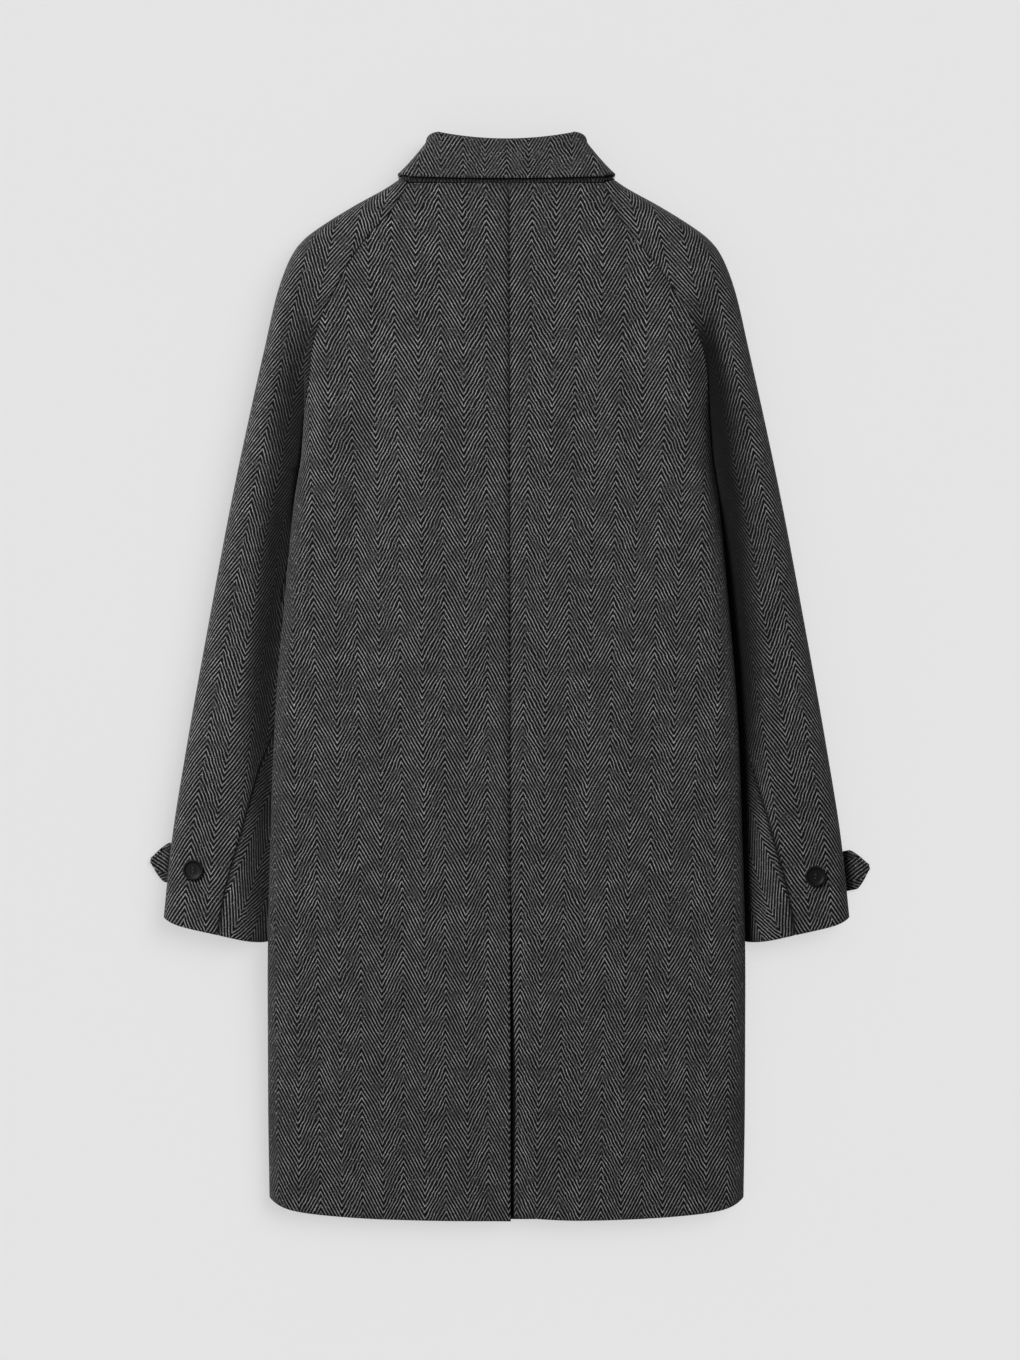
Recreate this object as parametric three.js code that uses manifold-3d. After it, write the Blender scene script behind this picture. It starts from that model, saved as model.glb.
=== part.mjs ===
// A long raglan overcoat of heavy herringbone wool, laid flat with its back upwards.
// X runs across the coat, Y up to the collar and Z away from the surface that it lies on.
// Places on the coat are given as a tailor gives them: "half" is the distance from the
// centre line, "drop" the distance down from the neck seam, both measured as it lies.
import * as THREE from "three";
import { mergeVertices } from "three/addons/utils/BufferGeometryUtils.js";
import Module from "manifold-3d";

// Driving dimensions, in millimetres.
const cloth = 2.6; // one wall of the coat
const gap = 0.3; // between neighbouring pieces
const seamCut = 0.2; // taken off each of the two edges that meet at a seam
const napeY = 494; // the neck seam's place up the Y axis
const centreX = -3.5; // the centre line's place on the X axis
const length = 1039; // centre back, from neck seam to hem
const hemCorner = 1016; // drop of the hem where it meets the side
const underarm = 287; // drop of the point where sleeve and side seam meet
const split = 3; // over how short a drop sleeve and body part there
const roll = {
  body: 24, // how far in the back's roll at the side reaches
  bodyUnder: 14, // the same for the front
  sleeve: 18, // the sleeve's outer edge, above
  sleeveUnder: 12, // and below
  slope: 34, // from the valley up to the sleeve
  fold: 7, // the sleeve's inner edge
  mostOver: 0.8, // share of a narrow section that a roll may take, above
  mostUnder: 0.6, // and below
};
const sleeveClear = 0.7; // between the sleeve's inner edge and the body beside it
const vent = { top: 735, dive: 34, grow: 34, underlap: 45, clear: 5, ramp: 16 };
const closure = { past: 45, clear: 10, ramp: 18, lift: cloth + 3 * gap }; // past the centre line
const neck = { half: 97.5, cornerHalf: 109, cornerRise: 4, dip: 55 };
const collar = {
  stand: 34.1, // height of the stand, neck seam to fold
  seat: 0.7, // how far the stand's lower edge stays above the neck seam
  foldHalf: 80, // half width of the stand at the fold
  bow: 6.7, // how much higher the fold is near its ends than at the centre back
  tilt: 8, // how far the fold drops as it turns round to the front
  foldTop: 27, // height of the stand's upper wall at the fold
  band: 3, // thickness of the stand and of the fall
  foldGap: 3.4, // between the stand's upper edge and the fold
  rollHigh: 6.2, // how far the rolled fold rises past the stand
  flare: 2.5, // how far the fall's free edge stands off
  rollShare: 0.3, // the part of the fall's rows that the roll takes
  fallEnd: 5, // how far above the neck seam the fall stops at the back
  leaf: 30, // how far below the neck seam it reaches at the front
  standEnd: 1, // half of the opening between the stand's two ends
  spread: 24, // half of the opening between the two collar points
  middle: 0.45, // the widest place, as a share of the height
};
const columns = {
  back: 12,
  front: 11,
  sleeveBack: 10,
  sleeveFront: 12,
  collar: 35,
  bodyRows: { above: 14, below: 22 }, // above and below the underarm
  sleeveRows: { above: 14, below: 20 },
};
const crowding = 14; // how much closer points come where a section turns by a radian
const strap = { width: 40, point: 16, thick: 4.4, inside: 78, ease: 1.2, clear: 12, ramp: 22 };
const button = { radius: 10.25, thick: 3.6, rim: 1.8, dish: 0.9, edge: 0.9, hole: 1.05, pitch: 2.1 };

// The body's side edge. Above the underarm it is the valley between back and sleeve.
const bodySide = [
  { drop: 105, half: 203.5 },
  { drop: 157, half: 202.5 },
  { drop: 200, half: 202.5 },
  { drop: 267, half: 206 },
  { drop: 317, half: 213 },
  { drop: 417, half: 222 },
  { drop: 517, half: 230.5 },
  { drop: 617, half: 235 },
  { drop: 817, half: 239.5 },
  { drop: 917, half: 239.3 },
  { drop: 1016, half: 238 },
];

// The outer edge of shoulder and sleeve, from the neck corner to the cuff.
const outerEdge = [
  { drop: -4, half: 109 },
  { drop: 3, half: 119.5 },
  { drop: 22, half: 153.5 },
  { drop: 42, half: 185.5 },
  { drop: 54, half: 201.5 },
  { drop: 66, half: 212 },
  { drop: 85, half: 221.5 },
  { drop: 112, half: 230.5 },
  { drop: 162, half: 242 },
  { drop: 242, half: 259.8 },
  { drop: 322, half: 276.5 },
  { drop: 442, half: 299 },
  { drop: 562, half: 320.5 },
  { drop: 660, half: 336 },
  { drop: 740, half: 344.5 },
];

// The raglan seam from the neck down to the underarm, which differs a little left to right.
const raglanSeam = [
  { drop: 0, left: 97.5, right: 97.5 },
  { drop: 31, left: 117.5, right: 110.5 },
  { drop: 49, left: 134.5, right: 122 },
  { drop: 68, left: 149.5, right: 138 },
  { drop: 84, left: 159.5, right: 151 },
  { drop: 104, left: 169.5, right: 165.5 },
  { drop: 138, left: 186.5, right: 185.5 },
  { drop: 171, left: 195.5, right: 198 },
  { drop: 201, left: 198.5, right: 202.3 },
  { drop: 227, left: 203, right: 203.6 },
  { drop: 287, left: 208.7, right: 208.7 },
];

// Height of the upper wall over the middle and over the side of the body, and over the sleeve,
// with the height of the sleeve's outer edge.
const heights = [
  { drop: 0, centre: 29, side: 29, sleeve: 29, edge: 12 },
  { drop: 60, centre: 32, side: 33.5, sleeve: 33.5, edge: 14 },
  { drop: 105, centre: 32, side: 36, sleeve: 36, edge: 15 },
  { drop: 300, centre: 30, side: 36, sleeve: 36, edge: 15 },
  { drop: 450, centre: 30, side: 36, sleeve: 34, edge: 14 },
  { drop: 620, centre: 29, side: 35, sleeve: 31, edge: 13 },
  { drop: 760, centre: 28, side: 32, sleeve: 27, edge: 12 },
  { drop: 900, centre: 26, side: 27, sleeve: 27, edge: 12 },
  { drop: 1040, centre: 22, side: 22, sleeve: 27, edge: 12 },
];

// The valley between body and sleeve: the height of the body's side edge and of the sleeve
// beside it, and how steeply each wall drops into it, from 0 (softly) to 1 (a round roll).
const valley = [
  { drop: 105, body: 36, sleeve: 36, bodyRound: 0, sleeveRound: 0 },
  { drop: 157, body: 29, sleeve: 29, bodyRound: 0.15, sleeveRound: 0.1 },
  { drop: 197, body: 21, sleeve: 21, bodyRound: 0.5, sleeveRound: 0.2 },
  { drop: 240, body: 12.5, sleeve: 12.5, bodyRound: 0.85, sleeveRound: 0.5 },
  { drop: 287, body: 6.2, sleeve: 6.2, bodyRound: 1, sleeveRound: 0.8 },
  { drop: 340, body: 13, sleeve: 9, bodyRound: 1, sleeveRound: 0.4 },
  { drop: 390, body: 21, sleeve: 12, bodyRound: 1, sleeveRound: 0.1 },
  { drop: 450, body: 23, sleeve: 12, bodyRound: 1, sleeveRound: 0 },
  { drop: 740, body: 21, sleeve: 12, bodyRound: 1, sleeveRound: 0 },
  { drop: 850, body: 13, sleeve: 12, bodyRound: 1, sleeveRound: 0 },
  { drop: 1040, body: 9, sleeve: 12, bodyRound: 1, sleeveRound: 0 },
];

// How far the sleeve is tucked in under the body, how high that lifts the front, and how far
// from the tucked edge the underarm seam runs, over the sleeve's upper wall.
const tuck = [
  { drop: 287, under: 0, lift: 0, seam: 0 },
  { drop: 325, under: 0, lift: 0, seam: 1 },
  { drop: 395, under: 0, lift: 12.4, seam: 4 },
  { drop: 430, under: 12, lift: 12.4, seam: 14 },
  { drop: 480, under: 30, lift: 12.4, seam: 26 },
  { drop: 554, under: 39, lift: 12.4, seam: 40 },
  { drop: 598, under: 34, lift: 12.4, seam: 48 },
  { drop: 661, under: 22, lift: 12.4, seam: 51.5 },
  { drop: 731, under: 8, lift: 12.4, seam: 54.5 },
  { drop: 770, under: 2, lift: 12.4, seam: 53 },
  { drop: 840, under: 0, lift: 0, seam: 53 },
];
const leafRamp = { clear: 5, along: 30, across: 24 }; // round the collar's leaf
const liftRamp = { from: 52, to: 14 }; // the front rises between these distances from the tuck

// The sleeve's cross lines: each joins a drop on its inner side to one on its outer edge.
const crossLines = [
  { drop: 0, outer: -4 },
  { drop: 31, outer: 8 },
  { drop: 49, outer: 18 },
  { drop: 84, outer: 42 },
  { drop: 104, outer: 58 },
  { drop: 138, outer: 98 },
  { drop: 171, outer: 143 },
  { drop: 227, outer: 208 },
  { drop: 287, outer: 270 },
  { drop: 400, outer: 380 },
  { drop: 759, outer: 735 },
];

// How far each cross row bows down at the middle of its panel.
const bodyBow = [
  { drop: 0, neck: 55, hem: 0, corner: 0 },
  { drop: 60, neck: 38, hem: 0, corner: 0 },
  { drop: 200, neck: 0, hem: 0, corner: 0 },
  { drop: 860, neck: 0, hem: 0, corner: 0 },
  { drop: 1016, neck: 0, hem: 13, corner: 10 },
];
const cuffBow = { from: 690, to: 759, depth: 5 };
const sleeveFold = { settle: 40, edge: 0.5 }; // the inner edge comes down to half the height

// The largest soft folds of the back, from the shoulders down: left trough, left ridge, right
// trough, right ridge, left trough. A trough has a negative height.
const folds = [
  { fromHalf: -122, fromDrop: 95, toHalf: -150, toDrop: 390, wide: 15, high: -2.6 },
  { fromHalf: -72, fromDrop: 110, toHalf: -84, toDrop: 520, wide: 24, high: 1.8 },
  { fromHalf: 128, fromDrop: 120, toHalf: 146, toDrop: 330, wide: 17, high: -1.8 },
  { fromHalf: 96, fromDrop: 560, toHalf: 110, toDrop: 1000, wide: 30, high: 1.5 },
  { fromHalf: -104, fromDrop: 620, toHalf: -96, toDrop: 1010, wide: 26, high: -1.5 },
];

// The cuff straps and buttons: the place of each point beyond the sleeve and of each button.
const cuffs = {
  left: { tipHalf: 358.5, tipDrop: 678, lean: 0.138, buttonHalf: 313.2, buttonDrop: 686.5 },
  right: { tipHalf: 365.5, tipDrop: 684.5, lean: 0.19, buttonHalf: 308.4, buttonDrop: 692.9 },
};

const wool = { color: 0x4a4a4b, roughness: 0.95, metalness: 0 };
const horn = { color: 0x141414, roughness: 0.5, metalness: 0 };
const signs = { left: -1, right: 1 };

const clamp = (value) => Math.min(1, Math.max(0, value));
const mix = (from, to, share) => from + (to - from) * share;
const smooth = (value) => clamp(value) ** 2 * (3 - 2 * clamp(value));
const quarter = (value) => Math.sqrt(1 - (1 - clamp(value)) ** 2);

// A column's value at a drop, on a smooth curve through the rows that doesn't overshoot them.
function along(table, column, drop) {
  const last = table.length - 1;
  if (drop <= table[0].drop) return table[0][column];
  if (drop >= table[last].drop) return table[last][column];
  const row = table.findIndex((next) => next.drop > drop) - 1;
  const secant = (i) =>
    (table[i + 1][column] - table[i][column]) / (table[i + 1].drop - table[i].drop);
  const slope = (i) => {
    if (i === 0) return secant(0);
    if (i === last) return secant(last - 1);
    const [before, after] = [secant(i - 1), secant(i)];
    return before * after <= 0 ? 0 : (2 * before * after) / (before + after);
  };
  const step = table[row + 1].drop - table[row].drop;
  const t = (drop - table[row].drop) / step;
  return (
    mix(table[row][column], table[row + 1][column], t * t * (3 - 2 * t)) +
    step * t * (1 - t) * ((1 - t) * slope(row) - t * slope(row + 1))
  );
}

// A point of the coat from its side, half, drop and height.
const place = (side, half, drop, z) =>
  new THREE.Vector3(centreX + signs[side] * half, napeY - drop, z);

// The centre back seam runs a little to the right of the centre line, and drifts outwards.
const seamHalf = (side, drop) => signs[side] * (2.5 + (2 * drop) / length);

// The lift of the soft folds at a place, with the half signed: left is negative.
function foldHeight(signedHalf, drop) {
  let height = 0;
  for (const fold of folds) {
    const t = (drop - fold.fromDrop) / (fold.toDrop - fold.fromDrop);
    const aside = (signedHalf - mix(fold.fromHalf, fold.toHalf, clamp(t))) / fold.wide;
    const fade = smooth(t * 4 + 0.5) * smooth((1 - t) * 4 + 0.5);
    height += fold.high * Math.exp(-aside * aside) * fade;
  }
  return height;
}

// The upper wall of body and shoulder, down to the valley between body and sleeve.
function upperWall(side, half, drop, inside = half < along(bodySide, "half", drop)) {
  const edge = along(bodySide, "half", drop);
  const level = clamp(1 - (half / edge) ** 2);
  const top =
    mix(along(heights, "side", drop), along(heights, "centre", drop), level) +
    foldHeight(signs[side] * half, drop) * clamp((edge - half) / roll.body);
  const low = Math.min(top, along(valley, inside ? "body" : "sleeve", drop));
  const reach = clamp(Math.abs(half - edge) / (inside ? roll.body : roll.slope));
  const round = along(valley, inside ? "bodyRound" : "sleeveRound", drop);
  return low + (top - low) * mix(smooth(reach), quarter(reach), round);
}

// The sleeve's upper wall below the underarm: it slopes down beside the body and goes under it.
function sleeveWall(half, drop) {
  const top = along(heights, "sleeve", drop);
  const low = along(valley, "sleeve", drop);
  const reach = clamp((half - along(bodySide, "half", drop)) / roll.slope);
  const round = along(valley, "sleeveRound", drop);
  return low + (top - low) * mix(smooth(reach), quarter(reach), round);
}

// The height of the lower wall's outer face: flat on the surface but for what lies under it.
function underWall(side, half, drop) {
  const tucked = along(bodySide, "half", drop) - along(tuck, "under", drop);
  const rise = smooth((half - tucked + liftRamp.from) / (liftRamp.from - liftRamp.to));
  const sleeve = along(tuck, "lift", drop) * rise;
  const past = closure.past + closure.clear;
  const over = closure.lift * smooth((past + closure.ramp - half) / closure.ramp);
  return Math.max(sleeve, leafLift(half, drop)) + (side === "right" ? over : 0);
}

// How far the front neckline lies below the back one.
const neckDip = (half) => neck.dip * Math.max(0, 1 - (half / neck.half) ** 2);

// The lift of the lower walls over the collar's leaf, which lies under them.
function leafLift(half, drop) {
  const leafEnd = neckDip(half) + collar.leaf + leafRamp.clear;
  const leafSide = neck.cornerHalf + leafRamp.clear;
  const below = smooth((leafEnd + leafRamp.along - drop) / leafRamp.along);
  const beside = smooth((leafSide + leafRamp.across - half) / leafRamp.across);
  return (collar.band + gap) * below * beside;
}

// The lift of a sleeve's lower wall where the cuff strap lies under it.
function strapLift(side, half, drop) {
  const { tipHalf, tipDrop, lean } = cuffs[side];
  const aside = Math.abs(drop - tipDrop - (tipHalf - half) * lean) - strap.width / 2;
  const inward = tipHalf - half - strap.inside;
  const beside = smooth(1 - (aside - strap.clear) / strap.ramp);
  return (strap.thick + gap) * beside * smooth(1 - (inward - strap.clear) / strap.ramp);
}

// A section as a line of fewer points, which crowd where it turns. Each keeps the direction
// in which the section runs there.
function crowd(line, count) {
  const reach = [0];
  for (let i = 1; i < line.length; i++) {
    const step = line[i].clone().sub(line[i - 1]);
    const next = i + 1 < line.length ? line[i + 1].clone().sub(line[i]) : step;
    const turn = step.lengthSq() && next.lengthSq() ? step.angleTo(next) : 0;
    reach.push(reach[i - 1] + step.length() + crowding * turn);
  }
  const total = reach[reach.length - 1];
  return spread(0, total, count).map((at) => {
    const i = Math.max(1, reach.findIndex((value) => value >= at - 1e-9));
    const share = clamp((at - reach[i - 1]) / (reach[i] - reach[i - 1]));
    const point = line[i - 1].clone().lerp(line[i], share);
    return Object.assign(point, { run: line[i].clone().sub(line[i - 1]).normalize() });
  });
}

// A line shortened at each end, so that its piece stays clear of its neighbour at the seam.
function trim(line, by) {
  const cut = (points) => {
    let left = by;
    while (points.length > 2 && points[0].distanceTo(points[1]) <= left) {
      left -= points[0].distanceTo(points[1]);
      points.shift();
    }
    points[0].lerp(points[1], left / points[0].distanceTo(points[1]));
    return points.reverse();
  };
  return cut(cut(line.map((point) => point.clone())));
}

// A closed wall: the outer points of a panel, row by row, and the same points moved in. Its
// inside lies to the left of the rows' columns where turned is 1, and to the right where it is -1.
function wall(rows, thickness, turned) {
  const [high, wide] = [rows.length, rows[0].length];
  const at = (r, c) => rows[Math.min(high - 1, Math.max(0, r))][c];
  const inner = rows.map((row, r) =>
    row.map((point, c) => {
      const down = at(r + 1, c).clone().sub(at(r - 1, c));
      const inward = point.run.clone().cross(down).normalize();
      return new THREE.Vector3().copy(point).addScaledVector(inward, thickness * turned);
    }),
  );
  const index = (layer, r, c) => (layer * high + r) * wide + c;
  const faces = [];
  const quad = (a, b, c, d) =>
    turned > 0 ? faces.push(a, b, c, a, c, d) : faces.push(a, c, b, a, d, c);
  const [bottom, end] = [high - 1, wide - 1];
  for (let r = 0; r < bottom; r++) {
    for (let c = 0; c < end; c++) {
      quad(index(0, r, c), index(0, r + 1, c), index(0, r + 1, c + 1), index(0, r, c + 1));
      quad(index(1, r, c), index(1, r, c + 1), index(1, r + 1, c + 1), index(1, r + 1, c));
    }
    quad(index(0, r, 0), index(1, r, 0), index(1, r + 1, 0), index(0, r + 1, 0));
    quad(index(0, r, end), index(0, r + 1, end), index(1, r + 1, end), index(1, r, end));
  }
  for (let c = 0; c < end; c++) {
    quad(index(0, 0, c), index(0, 0, c + 1), index(1, 0, c + 1), index(1, 0, c));
    quad(index(0, bottom, c), index(1, bottom, c), index(1, bottom, c + 1), index(0, bottom, c + 1));
  }
  const geometry = new THREE.BufferGeometry().setFromPoints([...rows.flat(), ...inner.flat()]);
  return geometry.setIndex(faces);
}

// Evenly spaced values from first to last, with both ends.
const spread = (first, last, count) =>
  Array.from({ length: count }, (_, i) => mix(first, last, i / (count - 1)));

// Stations down a panel. Pieces that meet at the raglan seam share those above the underarm,
// and they fall closer together where the form changes most.
function stations(last, counts, busy) {
  const part = (from, to, count) => {
    const dense = spread(from, to, 300);
    const reach = [0];
    for (const drop of dense.slice(1)) {
      const near = busy.map((place) => Math.exp(-(((drop - place) / 45) ** 2)));
      reach.push(reach[reach.length - 1] + 1 + 2.5 * Math.max(...near));
    }
    return spread(0, reach[reach.length - 1], count).map((at) => {
      const i = Math.max(1, reach.findIndex((value) => value >= at - 1e-9));
      return mix(dense[i - 1], dense[i], clamp((at - reach[i - 1]) / (reach[i] - reach[i - 1])));
    });
  };
  return [...part(0, underarm, counts.above), ...part(underarm + split, last, counts.below)];
}

// The half width of a body panel at a station: the raglan seam, then the side.
const panelSide = (side, drop) => {
  const edge = along(bodySide, "half", drop);
  return drop > underarm ? edge : Math.min(edge, along(raglanSeam, side, drop));
};

// The drop of a point in a body panel's row, which bows at the neck and at the hem.
function bowed(station, share, neckShare) {
  return (
    station +
    neckShare * along(bodyBow, "neck", station) * (1 - share ** 2) +
    along(bodyBow, "hem", station) * (1 - share ** 3) +
    along(bodyBow, "corner", station) * (1 - share ** 20)
  );
}

// Half widths across a panel, closer together towards its outer end.
function across(from, to, reach) {
  const flat = spread(from, to - reach, 60);
  const round = spread(Math.PI / 2, 0, 31).map((angle) => to - reach * (1 - Math.cos(angle)));
  return [...flat, ...round.slice(1)];
}

// A row of columns in which each knee, a half given with the columns up to it, has its own one.
function kneed(side, line, knees, count) {
  const half = (point) => signs[side] * (point.x - centreX);
  const row = [];
  let rest = line;
  for (const knee of knees) {
    const end = rest.findIndex((point) => half(point) > knee.half);
    const [before, after] = [rest[end - 1], rest[end]];
    const share = (knee.half - half(before)) / (half(after) - half(before));
    const meet = before.clone().lerp(after, share);
    row.push(...crowd([...rest.slice(0, end), meet], knee.columns + 1).slice(0, -1));
    rest = [meet, ...rest.slice(end)];
  }
  return [...row, ...crowd(rest, count - row.length)];
}

// How far the right back dives under the left one at the vent.
function ventDive(half, drop) {
  const deep = smooth((drop - vent.top + vent.dive) / vent.dive);
  const near = seamHalf("right", drop) + vent.clear + vent.ramp - half;
  return (cloth + gap) * deep * smooth(near / vent.ramp);
}

// One row of a back panel: from the centre back seam or vent edge to the raglan or side seam.
function backRow(side, station, count) {
  const to = panelSide(side, station);
  const under = side === "right" ? vent.underlap * smooth((station - vent.top) / vent.grow) : 0;
  const from = seamHalf(side, station) - under;
  const line = across(from, to, roll.body).map((half) => {
    const drop = bowed(station, clamp(Math.abs(half) / to), 0);
    const dive = side === "right" ? ventDive(half, drop) : 0;
    const inside = station > underarm || undefined;
    return place(side, half, drop, upperWall(side, half, station, inside) - dive);
  });
  const knee = { half: seamHalf(side, station) + vent.clear, columns: 2 };
  return kneed(side, trim(line, seamCut), side === "right" ? [knee] : [], count);
}

// One row of a front panel: from past the centre line to the raglan or side seam.
function frontRow(side, station, count) {
  const to = panelSide(side, station);
  const below = station > underarm;
  const round = below ? roll.bodyUnder : 1;
  const edge = along(valley, "body", station);
  const line = across(-closure.past, to, round).map((half) => {
    const drop = bowed(station, clamp(Math.abs(half) / to), 1);
    const flat = underWall(side, half, drop);
    const turn = below ? 1 - Math.sqrt(1 - clamp((half - to + round) / round) ** 2) : 0;
    return place(side, half, drop, mix(flat, edge, turn));
  });
  const flatTo = closure.past + closure.clear;
  const knees = [
    { half: flatTo, columns: 3 },
    { half: flatTo + closure.ramp, columns: 1 },
  ];
  return kneed(side, trim(line, seamCut), knees, count);
}

// One cross line of a sleeve, as two rows: its upper wall and its lower wall, which share the
// outer edge and meet again at the raglan seam or, below the underarm, at the underarm seam.
function sleeveRows(side, station) {
  const below = station > underarm;
  const outerDrop = along(crossLines, "outer", station);
  const outerHalf = along(outerEdge, "half", outerDrop);
  const under = along(tuck, "under", station);
  const innerHalf = panelSide(side, station) + (below ? sleeveClear - under : 0);
  const wide = Math.hypot(outerHalf - innerHalf, station - outerDrop);
  const outerRoll = Math.min(roll.sleeve, roll.mostOver * wide);
  const underRoll = Math.min(roll.sleeveUnder, roll.mostUnder * wide);
  const edge = along(heights, "edge", outerDrop);
  const fold = below ? roll.fold : 0;
  const settled = smooth((station - underarm) / sleeveFold.settle);
  const foldEdge = along(valley, "sleeve", station) * mix(1, sleeveFold.edge, settled);
  const bow = cuffBow.depth * smooth((station - cuffBow.from) / (cuffBow.to - cuffBow.from));
  const spot = (inward) => {
    const share = inward / wide;
    const drop = mix(outerDrop, station, share) + bow * (1 - Math.abs(2 * share - 1) ** 6);
    return { half: mix(outerHalf, innerHalf, share), drop };
  };
  const folded = (inward, height) =>
    fold ? mix(foldEdge, height, quarter((wide - inward) / fold)) : height;
  const upper = (inward) => {
    const { half, drop } = spot(inward);
    const top = drop < underarm ? upperWall(side, half, drop) : sleeveWall(half, drop);
    const outward = mix(edge, top, quarter(inward / outerRoll));
    return place(side, half, drop, folded(inward, outward));
  };
  const lower = (inward) => {
    const { half, drop } = spot(inward);
    const flat = Math.max(strapLift(side, half, drop), leafLift(half, drop));
    const outward = mix(edge, flat, quarter(inward / underRoll));
    return place(side, half, drop, folded(inward, outward));
  };
  const round = (from, reach, steps) =>
    spread(Math.PI / 2, 0, steps).map((angle) => from + reach * (1 - Math.cos(angle)));
  const steps = [
    ...round(0, outerRoll, 31).reverse(),
    ...spread(outerRoll, wide - fold, 60).slice(1),
    ...(fold ? round(0, fold, 16).map((reach) => wide - reach).slice(1) : []),
  ];
  const over = steps.map(upper);
  const beneath = steps.map(lower).reverse();
  if (!below) return { back: trim(over, seamCut), front: trim(beneath, seamCut) };
  const seam = wide - along(tuck, "seam", station);
  const kept = over.filter((_, i) => steps[i] < seam);
  const turned = over.filter((_, i) => steps[i] > seam);
  const meet = upper(seam);
  return {
    back: trim([...kept, meet], seamCut),
    front: trim([meet.clone(), ...turned, ...beneath.slice(turned.length ? 1 : 0)], seamCut),
  };
}

// A ring of the collar, from one front end over the back to the other. The profile gives its
// half width, that of the stand inside it, the heights of its upper and lower walls, its drop
// at the back and at the front, its bow along the fold, its tilt to the front, its rise at the
// neck's corners and the half where it ends.
function collarRing(profile) {
  const { half, seamLine, top, bottom, backDrop, frontDrop, bow, tilt, cornerRise, end } = profile;
  const corner = neck.cornerHalf - neck.half;
  const curve = (x) => clamp((x / (seamLine - corner)) ** 2);
  const middle = mix(bottom, top, collar.middle);
  const sideDrop = backDrop - bow;
  const halfLine = (side) => {
    const over = spread(0, half - corner, 24).map((x) =>
      place(side, x, backDrop - bow * curve(x), top),
    );
    const round = spread(0, Math.PI, 31).map((angle) => {
      const rise = angle < Math.PI / 2 ? top - middle : middle - bottom;
      const x = half - corner * (1 - Math.sin(angle));
      const drop = sideDrop + tilt * smooth(angle / Math.PI) - cornerRise * Math.sqrt(Math.sin(angle));
      return place(side, x, drop, middle + rise * Math.cos(angle));
    });
    const beneath = spread(half - corner, end, 24).map((x) =>
      place(side, x, mix(frontDrop, sideDrop + tilt, curve(x)), bottom),
    );
    return [...over, ...round.slice(1), ...beneath.slice(1)];
  };
  return [...halfLine("left").reverse(), ...halfLine("right").slice(1)];
}

// The stand's outer face at a height above the neck seam.
function standProfile(height) {
  const share = clamp(height / collar.stand);
  const half = mix(neck.cornerHalf, collar.foldHalf, share ** 0.8);
  return {
    half,
    seamLine: half,
    top: mix(heights[0].centre, collar.foldTop, share),
    bottom: collar.band + gap,
    backDrop: -collar.seat - height,
    frontDrop: neck.dip - 3 * collar.seat - height,
    bow: collar.bow * share,
    cornerRise: neck.cornerRise * (1 - share),
    tilt: collar.tilt * share,
    end: collar.standEnd,
  };
}

// The fall's outer face: a roll over the stand's top edge, from its inside, then down outside
// the stand to the free edge. The share runs from 0, where it starts, to 1 at the free edge.
function fallProfile(share) {
  const turn = Math.PI * clamp(share / collar.rollShare);
  const down = clamp((share - collar.rollShare) / (1 - collar.rollShare));
  const radius = (collar.band * 2 + gap) / 2;
  const out = radius - collar.band - radius * Math.cos(turn);
  const foldHigh = collar.stand + collar.foldGap + collar.rollHigh * Math.sin(turn);
  const height = mix(foldHigh, collar.fallEnd, down);
  const stand = standProfile(height);
  return {
    ...stand,
    half: stand.half + out + collar.flare * down,
    top: stand.top + out + collar.flare * down,
    bottom: Math.max(0, stand.bottom - out),
    frontDrop: stand.frontDrop + (collar.leaf + collar.fallEnd) * down ** 1.5,
    bow: collar.bow,
    tilt: collar.tilt * (1 - down),
    end: mix(collar.standEnd, collar.spread, down ** 1.5),
  };
}

function addCollar() {
  const ring = (profile) => crowd(collarRing(profile), columns.collar);
  const stand = spread(0, collar.stand, 4).map((height) => ring(standProfile(height)));
  add("collar_stand", wall(stand, collar.band, -1), wool);
  const rolled = spread(0, collar.rollShare, 5);
  const down = spread(collar.rollShare, 1, 5).slice(1);
  const fall = [...rolled, ...down].map((share) => ring(fallProfile(share)));
  add("collar_fall", wall(fall, collar.band, 1), wool);
}

// A cuff strap: two layers of cloth, sewn to a point, lying under the sleeve.
function addStrap(side) {
  const { tipHalf, tipDrop, lean } = cuffs[side];
  const wide = strap.width / 2;
  const outline = new THREE.Shape([
    new THREE.Vector2(-strap.inside, -wide),
    new THREE.Vector2(-strap.point - strap.ease, -wide),
    new THREE.Vector2(-strap.point + strap.ease, -wide + 2 * strap.ease),
    new THREE.Vector2(-strap.ease, -strap.ease),
    new THREE.Vector2(0, 0),
    new THREE.Vector2(-strap.ease, strap.ease),
    new THREE.Vector2(-strap.point + strap.ease, wide - 2 * strap.ease),
    new THREE.Vector2(-strap.point - strap.ease, wide),
    new THREE.Vector2(-strap.inside, wide),
  ]);
  const geometry = new THREE.ExtrudeGeometry(outline, {
    depth: strap.thick - 2 * strap.ease,
    bevelThickness: strap.ease,
    bevelSize: strap.ease,
    bevelOffset: -strap.ease,
    bevelSegments: 2,
  });
  geometry.translate(0, 0, strap.ease);
  if (side === "left") geometry.rotateY(Math.PI).translate(0, 0, strap.thick);
  const mesh = add(`cuff_strap_${side}`, geometry, wool);
  mesh.position.copy(place(side, tipHalf, tipDrop, 0));
  mesh.rotation.z = signs[side] * Math.atan(lean);
}

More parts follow.
